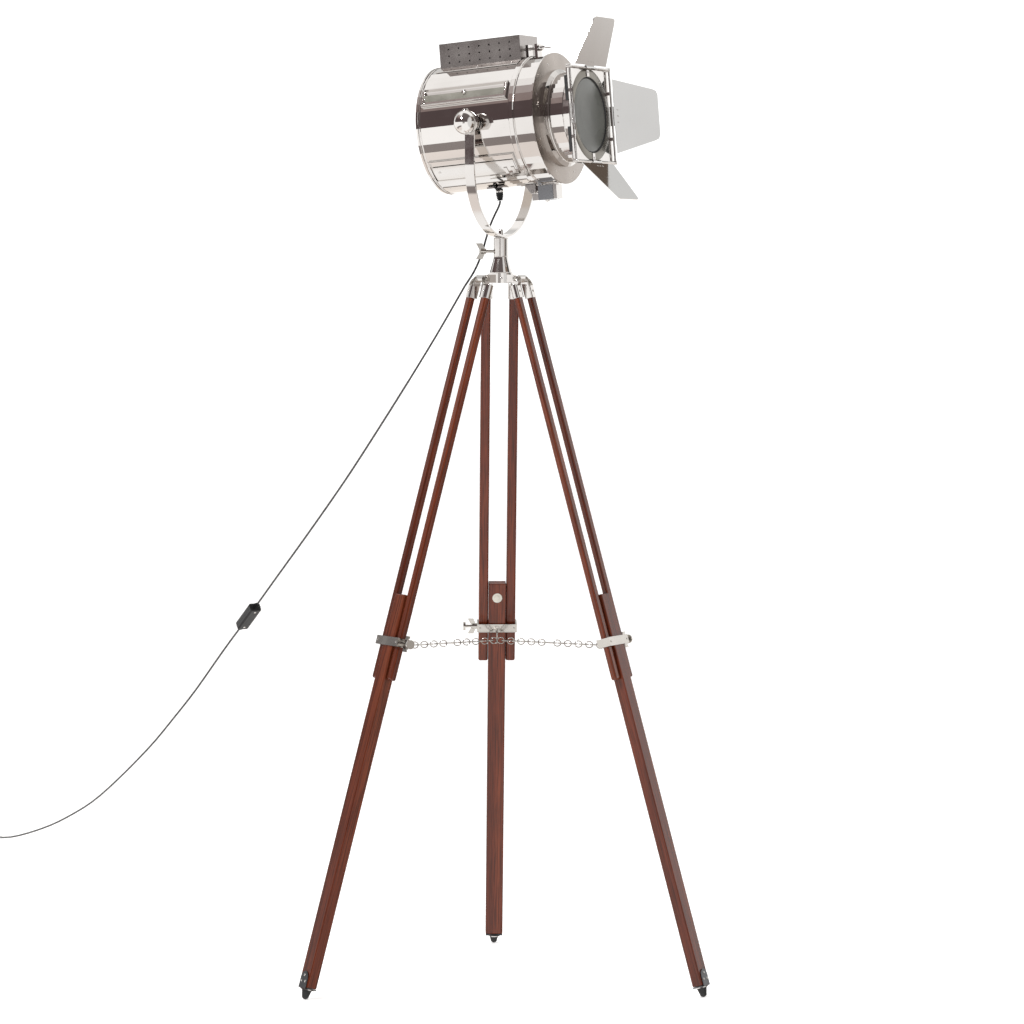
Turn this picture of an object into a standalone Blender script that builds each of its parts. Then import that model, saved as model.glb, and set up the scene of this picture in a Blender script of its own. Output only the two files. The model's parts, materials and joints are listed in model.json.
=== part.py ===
"""Tripod floor lamp: searchlight head in a U-shaped yoke on a three-legged wooden stand."""

import math

import bmesh
import bpy
from mathutils import Matrix, Vector

# ---- driving dimensions, metres; +Z up, the lamp looks along +X ----
LEAN = math.radians(16.22)  # legs from plumb
PIN_R, PIN_Z = 0.0378, 1.245  # leg hinge pins
LEG_TURN = {"right": -2.1, "back": 117.9, "left": 237.9}  # degrees about the stem
SLAT_W, SLAT_D, SLAT_GAP = 0.0173, 0.0110, 0.0324
SLAT_TOP, SLAT_END = 0.0145, 0.7264  # distances down the leg from its pin
BAND_S, BAND_H = 0.6595, 0.015
PLANK_W, PLANK_D, PLANK_TOP, PLANK_END = 0.0318, 0.0190, 0.5747, 1.2755
CHAIN_R, CHAIN_Z, CHAIN_BACK_Z = 0.2045, 0.6045, 0.5870  # the chains' anchors
HUB_R, HUB_LOW, HUB_TOP = 0.0225, 1.2372, 1.2544
STEM_R, STEM_TOP, STEM_BORE = 0.0128, 1.3172, 0.0080
SCREW_Z, SCREW_TURN = 1.2933, 207.0
PIVOT_Z, HEAD_TILT = 1.515, math.radians(4.78)
YOKE_HALF, YOKE_T, YOKE_W, YOKE_BEND_Z = 0.1225, 0.004, 0.0178, 1.442
KNOB_Y, KNOB_R = 0.1390, 0.0213  # centre and radius of a ball knob
GLAND_AT = (-0.0027, -0.020)  # where the cord leaves the drum
DRUM_R, DRUM_WALL, DRUM_REAR, DRUM_FRONT = 0.1115, 0.0018, -0.1106, 0.0687
FLANGE_R, FLANGE_X, NOSE_R, NOSE_END, LIP_R = 0.1150, 0.1170, 0.0785, 0.1740, 0.0654
DOOR_PIN_X, DOOR_PIN_Z = 0.0605, -0.1225  # hinge of the lamp's front
FRAME_HALF, ROD_X, ROD_R = 0.0818, 0.1785, 0.0020
LEAF_LEN, LEAF_IN, LEAF_OUT, LEAF_T = 0.0914, 0.131, 0.091, 0.0012
LEAF_FLARE = {"top": 66.2, "bottom": 50.9, "far": 49.4, "near": 64.0}
CORD_D = 0.0036
COIL_D = 0.040


# ---- scene helpers ----
for old in list(bpy.data.objects):
    bpy.data.objects.remove(old, do_unlink=True)


def material(name, rgb, metallic, rough):
    m = bpy.data.materials.new(name)
    m.use_nodes = True
    shader = m.node_tree.nodes["Principled BSDF"]
    shader.inputs["Base Color"].default_value = (*rgb, 1.0)
    shader.inputs["Metallic"].default_value = metallic
    shader.inputs["Roughness"].default_value = rough
    return m


LOOK = {
    "nickel": ((0.72, 0.69, 0.66), 1.0, 0.12),
    "nickel_dull": ((0.62, 0.58, 0.54), 1.0, 0.3),
    "steel": ((0.55, 0.55, 0.55), 1.0, 0.3),
    "wood": ((0.16, 0.055, 0.03), 0.0, 0.25),
    "rubber": ((0.02, 0.02, 0.02), 0.0, 0.6),
    "plastic": ((0.02, 0.02, 0.022), 0.0, 0.4),
    "ceramic": ((0.8, 0.78, 0.72), 0.0, 0.4),
    "glass": ((0.30, 0.32, 0.29), 0.0, 0.4),
}


def frame(name, matrix, parent=None):
    e = bpy.data.objects.new(name, None)
    bpy.context.collection.objects.link(e)
    e.parent = parent
    e.matrix_local = matrix
    return e


def solid(name, verts, faces, parent, look=None, smooth=False):
    mesh = bpy.data.meshes.new(name)
    mesh.from_pydata([tuple(v) for v in verts], [], faces)
    bm = bmesh.new()
    bm.from_mesh(mesh)
    bmesh.ops.recalc_face_normals(bm, faces=bm.faces)
    bm.to_mesh(mesh)
    bm.free()
    obj = bpy.data.objects.new(name, mesh)
    bpy.context.collection.objects.link(obj)
    obj.parent = parent
    if look:
        mesh.materials.append(material(name + "_look", *LOOK[look]))
    for poly in mesh.polygons:
        poly.use_smooth = smooth
    return obj


def at(axis, h, a, b):
    return {"X": (h, a, b), "Y": (b, h, a), "Z": (a, b, h)}[axis]


def turned(name, profile, parent, axis="Z", look=None, n=28, centre=(0, 0, 0)):
    """Profile points (height, radius); radius 0 at both ends makes a solid, else a ring."""
    verts, rings = [], []
    for h, r in profile:
        count = 1 if r == 0 else n
        rings.append(list(range(len(verts), len(verts) + count)))
        for i in range(count):
            a = 2 * math.pi * i / n
            spot = at(axis, h, r * math.cos(a), r * math.sin(a))
            verts.append([p + c for p, c in zip(spot, centre)])
    pairs = list(zip(rings, rings[1:]))
    if profile[0][1]:
        pairs.append((rings[-1], rings[0]))
    faces = []
    for low, high in pairs:
        for i in range(n):
            j = (i + 1) % n
            if len(low) == 1:
                faces.append((low[0], high[i], high[j]))
            elif len(high) == 1:
                faces.append((low[i], high[0], low[j]))
            else:
                faces.append((low[i], high[i], high[j], low[j]))
    return solid(name, verts, faces, parent, look, smooth=True)


def rod(name, axis, lo, hi, r, parent, look=None, centre=(0, 0, 0), n=20):
    return turned(name, [(lo, 0), (lo, r), (hi, r), (hi, 0)], parent, axis, look, n, centre)


def prism(name, outline, axis, lo, hi, parent, look=None):
    n = len(outline)
    verts = [at(axis, h, a, b) for h in (lo, hi) for a, b in outline]
    faces = [tuple(range(n))[::-1], tuple(range(n, 2 * n))]
    faces += [(i, (i + 1) % n, n + (i + 1) % n, n + i) for i in range(n)]
    return solid(name, verts, faces, parent, look)


def block(name, lo, hi, parent, look=None, bevel=0.0):
    xs, ys, zs = zip(lo, hi)
    verts = [(x, y, z) for x in xs for y in ys for z in zs]
    faces = [(0, 1, 3, 2), (4, 6, 7, 5), (0, 4, 5, 1), (2, 3, 7, 6), (0, 2, 6, 4), (1, 5, 7, 3)]
    obj = solid(name, verts, faces, parent, look)
    if bevel:
        mod = obj.modifiers.new("edges", "BEVEL")
        mod.width, mod.segments = bevel, 2
    return obj


def sector(name, x0, x1, r0, r1, a0, a1, parent, look=None, steps=6):
    """Part of a tube round X; angles in degrees up from the near side (-Y)."""
    outline = []
    for r, order in ((r1, range(steps + 1)), (r0, range(steps, -1, -1))):
        for i in order:
            a = math.radians(a0 + (a1 - a0) * i / steps)
            outline.append((-r * math.cos(a), r * math.sin(a)))
    return prism(name, outline, "X", x0, x1, parent, look)


def combine(target, tool, operation):
    tool.hide_render = True
    tool.display_type = "WIRE"
    mod = target.modifiers.new(operation.lower(), "BOOLEAN")
    mod.object, mod.operation, mod.solver = tool, operation, "EXACT"


def add(target, *tools):
    for tool in tools:
        combine(target, tool, "UNION")
    return target


def cut(target, *tools):
    for tool in tools:
        combine(target, tool, "DIFFERENCE")
    return target


def cord_tube(name, points, parent):
    curve = bpy.data.curves.new(name, "CURVE")
    curve.dimensions = "3D"
    curve.resolution_u = curve.render_resolution_u = 0
    curve.bevel_depth, curve.bevel_resolution = CORD_D / 2, 2
    curve.use_fill_caps = True
    spline = curve.splines.new("POLY")
    spline.points.add(len(points) - 1)
    for spot, p in zip(spline.points, points):
        spot.co = (*p, 1.0)
    curve.materials.append(material(name + "_look", *LOOK["rubber"]))
    obj = bpy.data.objects.new(name, curve)
    bpy.context.collection.objects.link(obj)
    obj.parent = parent
    return obj


def smooth_path(points, step, most=80):
    """Evenly spaced points along a smooth line through the given ones."""
    pts = [Vector(p) for p in points]
    ends = [2 * pts[0] - pts[1]] + pts + [2 * pts[-1] - pts[-2]]
    fine = []
    for a, b, c, d in zip(ends, ends[1:], ends[2:], ends[3:]):
        for i in range(24):
            t = i / 24
            fine.append(
                0.5 * (2 * b + (c - a) * t + (2 * a - 5 * b + 4 * c - d) * t * t
                       + (3 * b - a - 3 * c + d) * t ** 3)
            )
    fine.append(pts[-1])
    along = [0.0]
    for a, b in zip(fine, fine[1:]):
        along.append(along[-1] + (b - a).length)
    count = min(most, max(4, round(along[-1] / step) + 1))
    out, k = [], 0
    for i in range(count):
        want = along[-1] * i / (count - 1)
        while k < len(along) - 2 and along[k + 1] < want:
            k += 1
        part = (want - along[k]) / max(1e-9, along[k + 1] - along[k])
        out.append(fine[k].lerp(fine[k + 1], min(1.0, part)))
    return out


# ---- the stand ----
def wing_outline(near, far, reach, root=0.003):
    """Two wings on either side of the screw's line, as (along the screw, across)."""
    half = [(near, root), (near + 0.3 * (far - near), reach), (far, reach), (far - 0.006, root)]
    return half + [(a, -b) for a, b in reversed(half)]


def leg(name, turn, root):
    spot = Matrix.Rotation(math.radians(turn), 4, "Z") @ Matrix.Translation((PIN_R, 0, PIN_Z))
    lean = frame(f"{name}_frame", spot @ Matrix.Rotation(-LEAN, 4, "Y"), root)
    side = SLAT_GAP / 2 + SLAT_W / 2

    bracket = rod(f"{name}_bracket", "Y", -0.0178, 0.0178, 0.003, lean, "nickel", n=14)
    ear = [(-0.0358, -0.0068), (-0.0358, 0.0068)]
    ear += [(0.0068 * math.sin(math.radians(a)), 0.0068 * math.cos(math.radians(a)))
            for a in range(0, 181, 20)]
    for i, s in enumerate((-1, 1)):
        lo, hi = sorted((s * 0.0133, s * 0.0158))
        add(bracket, prism(f"{name}_ear{i}", ear, "Y", lo, hi, lean))
        lo, hi = sorted((s * 0.0145, s * 0.0350))
        add(bracket, block(f"{name}_cup{i}", (-0.0070, lo, -0.036), (0.0070, hi, -0.0118), lean))
    for i, s in enumerate((-1, 1)):
        lo, hi = sorted((s * (side - SLAT_W / 2 - 0.0003), s * (side + SLAT_W / 2 + 0.0003)))
        cut(bracket, block(f"{name}_socket{i}", (-0.0058, lo, -0.040), (0.0058, hi, -0.0142), lean))

    for tag, s in (("a", -1), ("b", 1)):
        block(f"{name}_slat_{tag}", (-SLAT_D / 2, s * side - SLAT_W / 2, -SLAT_END),
              (SLAT_D / 2, s * side + SLAT_W / 2, -SLAT_TOP), lean, "wood", 0.0012)

    z0, z1 = -BAND_S - BAND_H / 2, -BAND_S + BAND_H / 2
    clamp = block(f"{name}_clamp", (-0.0124, -0.0363, z0), (0.0124, 0.0363, z1), lean, "nickel")
    cut(clamp, block(f"{name}_clamp_hole", (-0.0097, -0.0338, z0 - 0.01),
                     (0.0097, 0.0338, z1 + 0.01), lean))
    add(clamp, rod(f"{name}_clamp_screw", "Y", 0.0348, 0.0578, 0.0025, lean,
                   centre=(0, 0, -BAND_S), n=14),
        rod(f"{name}_clamp_stop", "Y", 0.0573, 0.0613, 0.0080, lean, centre=(0, 0, -BAND_S), n=20))

    nut = rod(f"{name}_wing_nut", "Y", 0.0367, 0.0451, 0.0055, lean, "nickel",
              centre=(0, 0, -BAND_S))
    wings = [(y, z - BAND_S) for y, z in wing_outline(0.0383, 0.0528, 0.014)]
    add(nut, prism(f"{name}_wings", wings, "X", -0.0014, 0.0014, lean))
    cut(nut, rod(f"{name}_nut_bore", "Y", 0.030, 0.058, 0.0029, lean,
                 centre=(0, 0, -BAND_S), n=14))

    block(f"{name}_plank", (-PLANK_D / 2, -PLANK_W / 2, -PLANK_END),
          (PLANK_D / 2, PLANK_W / 2, -PLANK_TOP), lean, "wood", 0.0012)

    foot = block(f"{name}_foot_bracket", (-0.0093, -0.0155, -PLANK_END - 0.0025),
                 (0.0093, 0.0155, -PLANK_END - 0.0004), lean, "steel")
    arch = [(-0.0115, -PLANK_END - 0.0025), (0.0115, -PLANK_END - 0.0025)]
    arch += [(0.0115 * math.cos(math.radians(a)),
              -PLANK_END + 0.016 + 0.0115 * math.sin(math.radians(a))) for a in range(0, 181, 20)]
    add(foot, prism(f"{name}_foot_plate", arch, "X", PLANK_D / 2 + 0.0004,
                    PLANK_D / 2 + 0.0019, lean),
        block(f"{name}_foot_bend", (0.0080, -0.0115, -PLANK_END - 0.0025),
              (0.0114, 0.0115, -PLANK_END - 0.0004), lean))

    tip = turned(f"{name}_foot_tip", [(-PLANK_END - 0.040, 0), (-PLANK_END - 0.040, 0.0062),
                                      (-PLANK_END - 0.0028, 0.0115), (-PLANK_END - 0.0028, 0)],
                 lean, "Z", "rubber", 28)
    cut(tip, block(f"{name}_floor", (0.2, -0.1, -0.1), (0.6, 0.1, 0.0),
                   frame(f"{name}_floor_frame",
                         Matrix.Rotation(math.radians(turn), 4, "Z"), root)))


def chain(name, turn_from, turn_to, root):
    """Half of a spreader chain, from one leg's band to the middle of the span."""
    a, b = (Vector((CHAIN_R * math.cos(math.radians(t)), CHAIN_R * math.sin(math.radians(t)),
                    CHAIN_BACK_Z if t == LEG_TURN["back"] else CHAIN_Z))
            for t in (turn_from, turn_to))
    along = (b - a).normalized()
    length = (b - a).length / 2 - 0.0004
    turn = along.to_track_quat("X", "Z").to_matrix().to_4x4()
    spot = frame(f"{name}_frame", Matrix.Translation(a) @ turn, root)
    rod(name, "X", 0.006, length, 0.0016, spot, "nickel", n=8)


def stand(root):
    hub = rod("hub", "Z", HUB_LOW, HUB_TOP, HUB_R, root, "nickel_dull", n=28)
    for i, turn in enumerate(LEG_TURN.values()):
        spot = frame(f"lug{i}_frame", Matrix.Rotation(math.radians(turn), 4, "Z"), root)
        side = [(PIN_Z - 0.007, 0.012), (PIN_Z + 0.007, 0.012)]
        side += [(PIN_Z + 0.007 * math.cos(math.radians(a)),
                  PIN_R + 0.007 * math.sin(math.radians(a))) for a in range(0, 181, 30)]
        add(hub, prism(f"lug{i}", side, "Y", -0.013, 0.013, spot))
        cut(hub, rod(f"lug{i}_bore", "Y", -0.02, 0.02, 0.0033, spot,
                     centre=(PIN_R, 0, PIN_Z), n=16))

    stem = turned("stem", [(HUB_TOP + 0.0003, 0), (HUB_TOP + 0.0003, 0.0198), (1.2575, 0.0195),
                           (1.2794, 0.0133), (1.2830, STEM_R), (STEM_TOP - 0.0008, STEM_R),
                           (STEM_TOP, STEM_R - 0.0008), (STEM_TOP, STEM_BORE),
                           (1.2620, STEM_BORE), (1.2620, 0)], root, "Z", "nickel", 28)
    spot = Matrix.Translation((0, 0, SCREW_Z)) @ Matrix.Rotation(math.radians(SCREW_TURN), 4, "Z")
    screw_at = frame("stem_screw_frame", spot, root)
    cut(stem, rod("stem_thread", "X", 0.006, 0.020, 0.0029, screw_at, n=16))
    screw = turned("stem_screw", [(0.0081, 0), (0.0081, 0.0026), (0.0255, 0.0026),
                                  (0.0260, 0.0048), (0.0350, 0.0048), (0.0350, 0)],
                   screw_at, "X", "nickel", 16)
    wings = [(z, x) for x, z in wing_outline(0.0275, 0.0440, 0.014)]
    add(screw, prism("stem_wings", wings, "Y", -0.0014, 0.0014, screw_at))

    for name, turn in LEG_TURN.items():
        leg(f"leg_{name}", turn, root)
    chain("chain_left_a", LEG_TURN["left"], LEG_TURN["back"], root)
    chain("chain_left_b", LEG_TURN["back"], LEG_TURN["left"], root)
    chain("chain_right_a", LEG_TURN["back"], LEG_TURN["right"], root)
    chain("chain_right_b", LEG_TURN["right"], LEG_TURN["back"], root)


# ---- the yoke ----
def yoke(root):
    top = PIVOT_Z + 0.0095
    outline = []
    for r, order in ((YOKE_HALF + YOKE_T / 2, range(0, 21)),
                     (YOKE_HALF - YOKE_T / 2, range(20, -1, -1))):
        arc = [(r * math.cos(math.pi + math.pi * i / 20),
                YOKE_BEND_Z + r * math.sin(math.pi + math.pi * i / 20)) for i in order]
        ends = [(-r, top), (r, top)] if r > YOKE_HALF else [(r, top), (-r, top)]
        outline += [ends[0]] + arc + [ends[1]]
    bar = prism("yoke", outline, "X", -YOKE_W / 2, YOKE_W / 2, root, "nickel")
    low = YOKE_BEND_Z - YOKE_HALF
    add(bar, turned("yoke_spigot", [(1.2625, 0), (1.2625, 0.0070), (1.2632, 0.0077),
                                    (low, 0.0077), (low + 0.0005, 0.0042), (low + 0.0115, 0.0042),
                                    (low + 0.0125, 0.0030), (low + 0.0125, 0)], root, "Z"))
    cut(bar, rod("yoke_bore", "Y", -0.2, 0.2, 0.0046, root, centre=(0, 0, PIVOT_Z)))
    for name, s in (("knob_near", -1), ("knob_far", 1)):
        dome = [(0.1130, 0), (0.1130, 0.0040), (0.1249, 0.0040), (0.1249, 0.0152)]
        dome += [(KNOB_Y + KNOB_R * math.sin(math.radians(a)), KNOB_R * math.cos(math.radians(a)))
                 for a in (-41, -28, -14, 0, 14, 28, 42, 56, 72)] + [(KNOB_Y + KNOB_R, 0)]
        knob = turned(name, [(s * h, r) for h, r in dome], root, "Y", "nickel", 24,
                      (0, 0, PIVOT_Z))
        add(knob, rod(f"{name}_nub", "Z", 0.0150, 0.0236, 0.0056, root,
                      centre=(0, s * KNOB_Y, PIVOT_Z), n=14))


# ---- the lamp head, built round its own axis ----
def drum(head):
    inner = DRUM_R - DRUM_WALL
    shell = turned("drum", [(DRUM_REAR, inner), (DRUM_REAR, DRUM_R + 0.0012),
                            (DRUM_REAR + 0.004, DRUM_R + 0.0015), (DRUM_REAR + 0.005, DRUM_R),
                            (DRUM_FRONT, DRUM_R), (DRUM_FRONT, inner)], head, "X", "nickel", 48)
    for i, s in enumerate((-1, 1)):
        lo, hi = sorted((s * 0.1104, s * 0.1200))
        add(shell, rod(f"boss{i}", "Y", lo, hi, 0.0115, head, n=28))
    add(shell, block("latch_lug", (0.0666, -0.0090, 0.1100), (0.0686, 0.0090, 0.1335), head))
    for i, s in enumerate((-1, 1)):
        lo, hi = sorted((s * 0.0130, s * 0.0180))
        side = [(-0.1105, 0.046), (-0.1105, 0.0665), (-0.1225, 0.0665), (-0.1265, 0.0625),
                (-0.1265, 0.0570)]
        add(shell, prism(f"hinge_lug{i}", side, "Y", lo, hi, head))
    for i, s in enumerate((-1, 1)):
        lo, hi = sorted((s * 0.1128, s * 0.1250))
        cut(shell, rod(f"boss_bore{i}", "Y", lo, hi, 0.0044, head))
    cut(shell, rod("latch_hole", "X", 0.060, 0.075, 0.0029, head, centre=(0, 0, 0.1265), n=16),
        rod("hinge_hole", "Y", -0.03, 0.03, 0.0024, head, centre=(DOOR_PIN_X, 0, DOOR_PIN_Z), n=16),
        rod("gland_hole", "Z", -0.13, -0.09, 0.0049, head, centre=(*GLAND_AT, 0), n=16),
        block("vent_slot", (-0.075, -0.024, 0.10), (0.045, 0.024, 0.13), head))

    turned("rear_cap", [(-0.1180, 0), (-0.1180, 0.020), (-0.1160, 0.060), (-0.1120, 0.095),
                        (-0.1085, 0.1092), (-0.1065, 0.1092), (-0.1065, 0.1075),
                        (-0.1103, 0.094), (-0.1144, 0.060), (-0.1164, 0.020), (-0.1164, 0)],
           head, "X", "nickel", 32)

    gap = DRUM_R + 0.0004
    vent = block("vent_box", (-0.0916, -0.0360, 0.095), (0.0660, 0.0360, 0.150), head, "nickel")
    add(vent, sector("vent_base", -0.0930, 0.0662, 0.107, gap + 0.0014, 62, 118, head, steps=12))
    cut(vent, block("vent_inside", (-0.0901, -0.0345, 0.080), (0.0645, 0.0345, 0.1486), head),
        rod("vent_fit", "X", -0.13, 0.10, gap, head, n=48))

    for name, low, high, s in (("cover_near_upper", 18.7, 36.0, 0), ("cover_near_lower", -53, -31, 0),
                               ("cover_far_upper", 144.0, 161.3, 1),
                               ("cover_far_lower", 211, 233, 1)):
        tray = sector(name, -0.0990, 0.0655, gap, gap + 0.0050, low, high, head, "nickel")
        cut(tray, sector(f"{name}_pocket", -0.0972, 0.0637, gap + 0.0014, gap + 0.010,
                         low + 1.0, high - 1.0, head))


def front(head):
    r = DRUM_R
    bead = [(0.0690, r - 0.0018), (0.0690, r), (0.0710, r + 0.0023), (0.0780, r + 0.0023),
            (0.0800, r)]
    body = turned("front_ring", bead + [
        (FLANGE_X - 0.0030, r), (FLANGE_X - 0.0030, FLANGE_R), (FLANGE_X, FLANGE_R),
        (FLANGE_X, 0.0852), (FLANGE_X + 0.0065, 0.0852), (FLANGE_X + 0.0105, NOSE_R),
        (NOSE_END, NOSE_R), (NOSE_END, LIP_R),
        (NOSE_END - 0.0015, LIP_R), (NOSE_END - 0.0015, NOSE_R - 0.0016),
        (FLANGE_X, NOSE_R - 0.0016), (FLANGE_X - 0.0020, 0.085), (FLANGE_X - 0.0020, r - 0.0018)],
        head, "X", "nickel", 48)
    add(body, block("latch_ear", (0.0810, -0.0090, 0.1103), (0.0860, 0.0090, 0.1335), head),
        block("hinge_box", (0.0565, -0.0120, -0.1390), (0.1040, 0.0120, -0.1135), head),
        block("hinge_neck", (0.0705, -0.0100, -0.1150), (0.1000, 0.0100, -0.1103), head),
        rod("hinge_pin", "Y", -0.0180, 0.0180, 0.0020, head,
            centre=(DOOR_PIN_X, 0, DOOR_PIN_Z), n=16))
    cut(body, rod("latch_ear_hole", "X", 0.077, 0.089, 0.0029, head, centre=(0, 0, 0.1265), n=16))
    screw = turned("latch_screw", [(0.0668, 0), (0.0668, 0.0025), (0.0865, 0.0025),
                                   (0.0868, 0.0055), (0.0930, 0.0050), (0.0930, 0)], head, "X",
                   "nickel", 16, (0, 0, 0.1265))
    add(screw, prism("latch_wings", wing_outline(0.0880, 0.1020, 0.0125), "Z",
                     0.1253, 0.1277, head))

    turned("lens", [(0.1690, 0), (0.1690, 0.0700), (0.1720, 0.0700), (0.1725 - 0.0002, 0.0640),
                    (0.1732, 0.0560), (0.1745, 0.0380), (0.1754, 0)],
           head, "X", "glass", 40)


def barn(head):
    """Square frame that turns on the nose, and its four hinged leaves."""
    h, x = FRAME_HALF, ROD_X
    ring = turned("barn_frame", [(0.1600, NOSE_R + 0.0004), (0.1600, NOSE_R + 0.0024),
                                 (0.1728, NOSE_R + 0.0024), (0.1728, NOSE_R + 0.0004)],
                  head, "X", "nickel", 40)
    plate = block("barn_plate", (0.1724, -0.0838, -0.0838), (0.1744, 0.0838, 0.0838), head)
    cut(plate, rod("barn_hole", "X", 0.16, 0.19, NOSE_R + 0.0004, head, n=40))
    add(ring, plate)
    for i, s in enumerate((-1, 1)):
        add(ring, rod(f"barn_rod_y{i}", "Y", -h, h, ROD_R, head, centre=(x, 0, s * h), n=14),
            rod(f"barn_rod_z{i}", "Z", -h, h, ROD_R, head, centre=(x, s * h, 0), n=14))
    for i, (a, b) in enumerate(((-1, -1), (-1, 1), (1, 1), (1, -1))):
        add(ring, block(f"barn_corner{i}", (0.1730, a * h - 0.0026, b * h - 0.0026),
                        (x + 0.0024, a * h + 0.0026, b * h + 0.0026), head))

    for name, turn in (("top", 90), ("bottom", -90), ("near", 180), ("far", 0)):
        # each leaf is drawn flat along +X from its rod, then turned to its side and flared
        flare = math.radians(LEAF_FLARE[name])
        spot = (Matrix.Rotation(math.radians(turn), 4, "X") @ Matrix.Translation((x, h, 0))
                @ Matrix.Rotation(flare, 4, "Z"))
        at_rod = frame(f"leaf_{name}_frame", spot, head)
        a, b, c = LEAF_IN / 2, LEAF_OUT / 2, 0.010
        side = [(-a, 0.0048), (-b, LEAF_LEN - c), (-b + 0.003, LEAF_LEN - 0.003),
                (-b + c, LEAF_LEN)]
        outline = [(z, d) for z, d in side] + [(-z, d) for z, d in reversed(side)]
        leaf = prism(f"leaf_{name}", outline, "Y", -LEAF_T / 2, LEAF_T / 2, at_rod, "nickel")
        barrel = turned(f"leaf_{name}_barrel", [(-0.0170, ROD_R + 0.0003), (-0.0170, 0.0034),
                                                (0.0170, 0.0034), (0.0170, ROD_R + 0.0003)],
                        at_rod, "Z", n=14)
        strap = block(f"leaf_{name}_strap", (0.0027, -LEAF_T / 2, -0.0170),
                      (0.0080, LEAF_T / 2, 0.0170), at_rod)
        add(leaf, strap, barrel)


def inside(head):
    turned("reflector", [(-0.0900, 0.0225), (-0.0900, 0.0300), (-0.0840, 0.0500),
                         (-0.0720, 0.0700), (-0.0480, 0.0880), (-0.0480, 0.0865),
                         (-0.0730, 0.0685), (-0.0852, 0.0486), (-0.0885, 0.0225)],
           head, "X", "nickel", 24)
    turned("socket", [(-0.1060, 0), (-0.1060, 0.0200), (-0.0600, 0.0200), (-0.0600, 0.0150),
                      (-0.0950, 0.0150), (-0.0950, 0)], head, "X", "ceramic", 20)
    turned("bulb", [(-0.0940, 0), (-0.0940, 0.0130), (-0.0580, 0.0130), (-0.0450, 0.0160),
                    (-0.0260, 0.0270), (-0.0100, 0.0300), (0.0060, 0.0270), (0.0160, 0.0190),
                    (0.0210, 0.0090), (0.0220, 0)], head, "X", "glass", 20)
    turned("gland", [(-0.1325, 0), (-0.1325, 0.0034), (-0.1290, 0.0050), (-0.1200, 0.0067),
                     (-0.1130, 0.0067), (-0.1122, 0.0045), (-0.1066, 0.0045), (-0.1062, 0.0062),
                     (-0.1035, 0.0062), (-0.1035, 0)], head, "Z", "plastic", 18,
           (*GLAND_AT, 0))


# ---- mains cord, its switch, coil and plug ----
CORD_TOP = [(0.0086, -0.0200, 1.3813), (0.0078, -0.0198, 1.3770), (0.0038, -0.0181, 1.3695),
            (-0.0046, -0.0141, 1.3580), (-0.0148, -0.0086, 1.3430), (-0.0235, -0.0030, 1.3280)]
CORD_MID = [(-0.0240, -0.0026, 1.3268), (-0.0320, 0.0030, 1.3110), (-0.0390, 0.0065, 1.2940),
            (-0.0480, 0.0080, 1.2740), (-0.0590, 0.0085, 1.2545), (-0.0755, 0.0092, 1.2320)]
CORD_LOW = [(-0.0766, 0.0098, 1.2309), (-0.160, 0.066, 1.145), (-0.249, 0.124, 1.057),
            (-0.350, 0.191, 0.961), (-0.452, 0.259, 0.867), (-0.572, 0.338, 0.763),
            (-0.693, 0.419, 0.662), (-0.785, 0.479, 0.584), (-0.876, 0.539, 0.509),
            (-0.983, 0.611, 0.418), (-1.070, 0.668, 0.350), (-1.158, 0.727, 0.285),
            (-1.285, 0.811, 0.2025), (-1.398, 0.885, 0.137), (-1.512, 0.961, 0.087),
            (-1.596, 1.016, 0.056), (-1.703, 1.088, 0.024), (-1.785, 1.142, 0.0055),
            (-1.850, 1.180, 0.0019), (-1.910, 1.190, 0.0019), (-1.962, 1.168, 0.0019)]
SWITCH_AT, SWITCH_ALONG = Vector((-0.785, 0.479, 0.584)), Vector((-0.183, 0.120, -0.153))
COIL_AT, PLUG_AT = (-1.976, 1.1365, 0.0), (-1.925, 1.060, 0.0)


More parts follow.
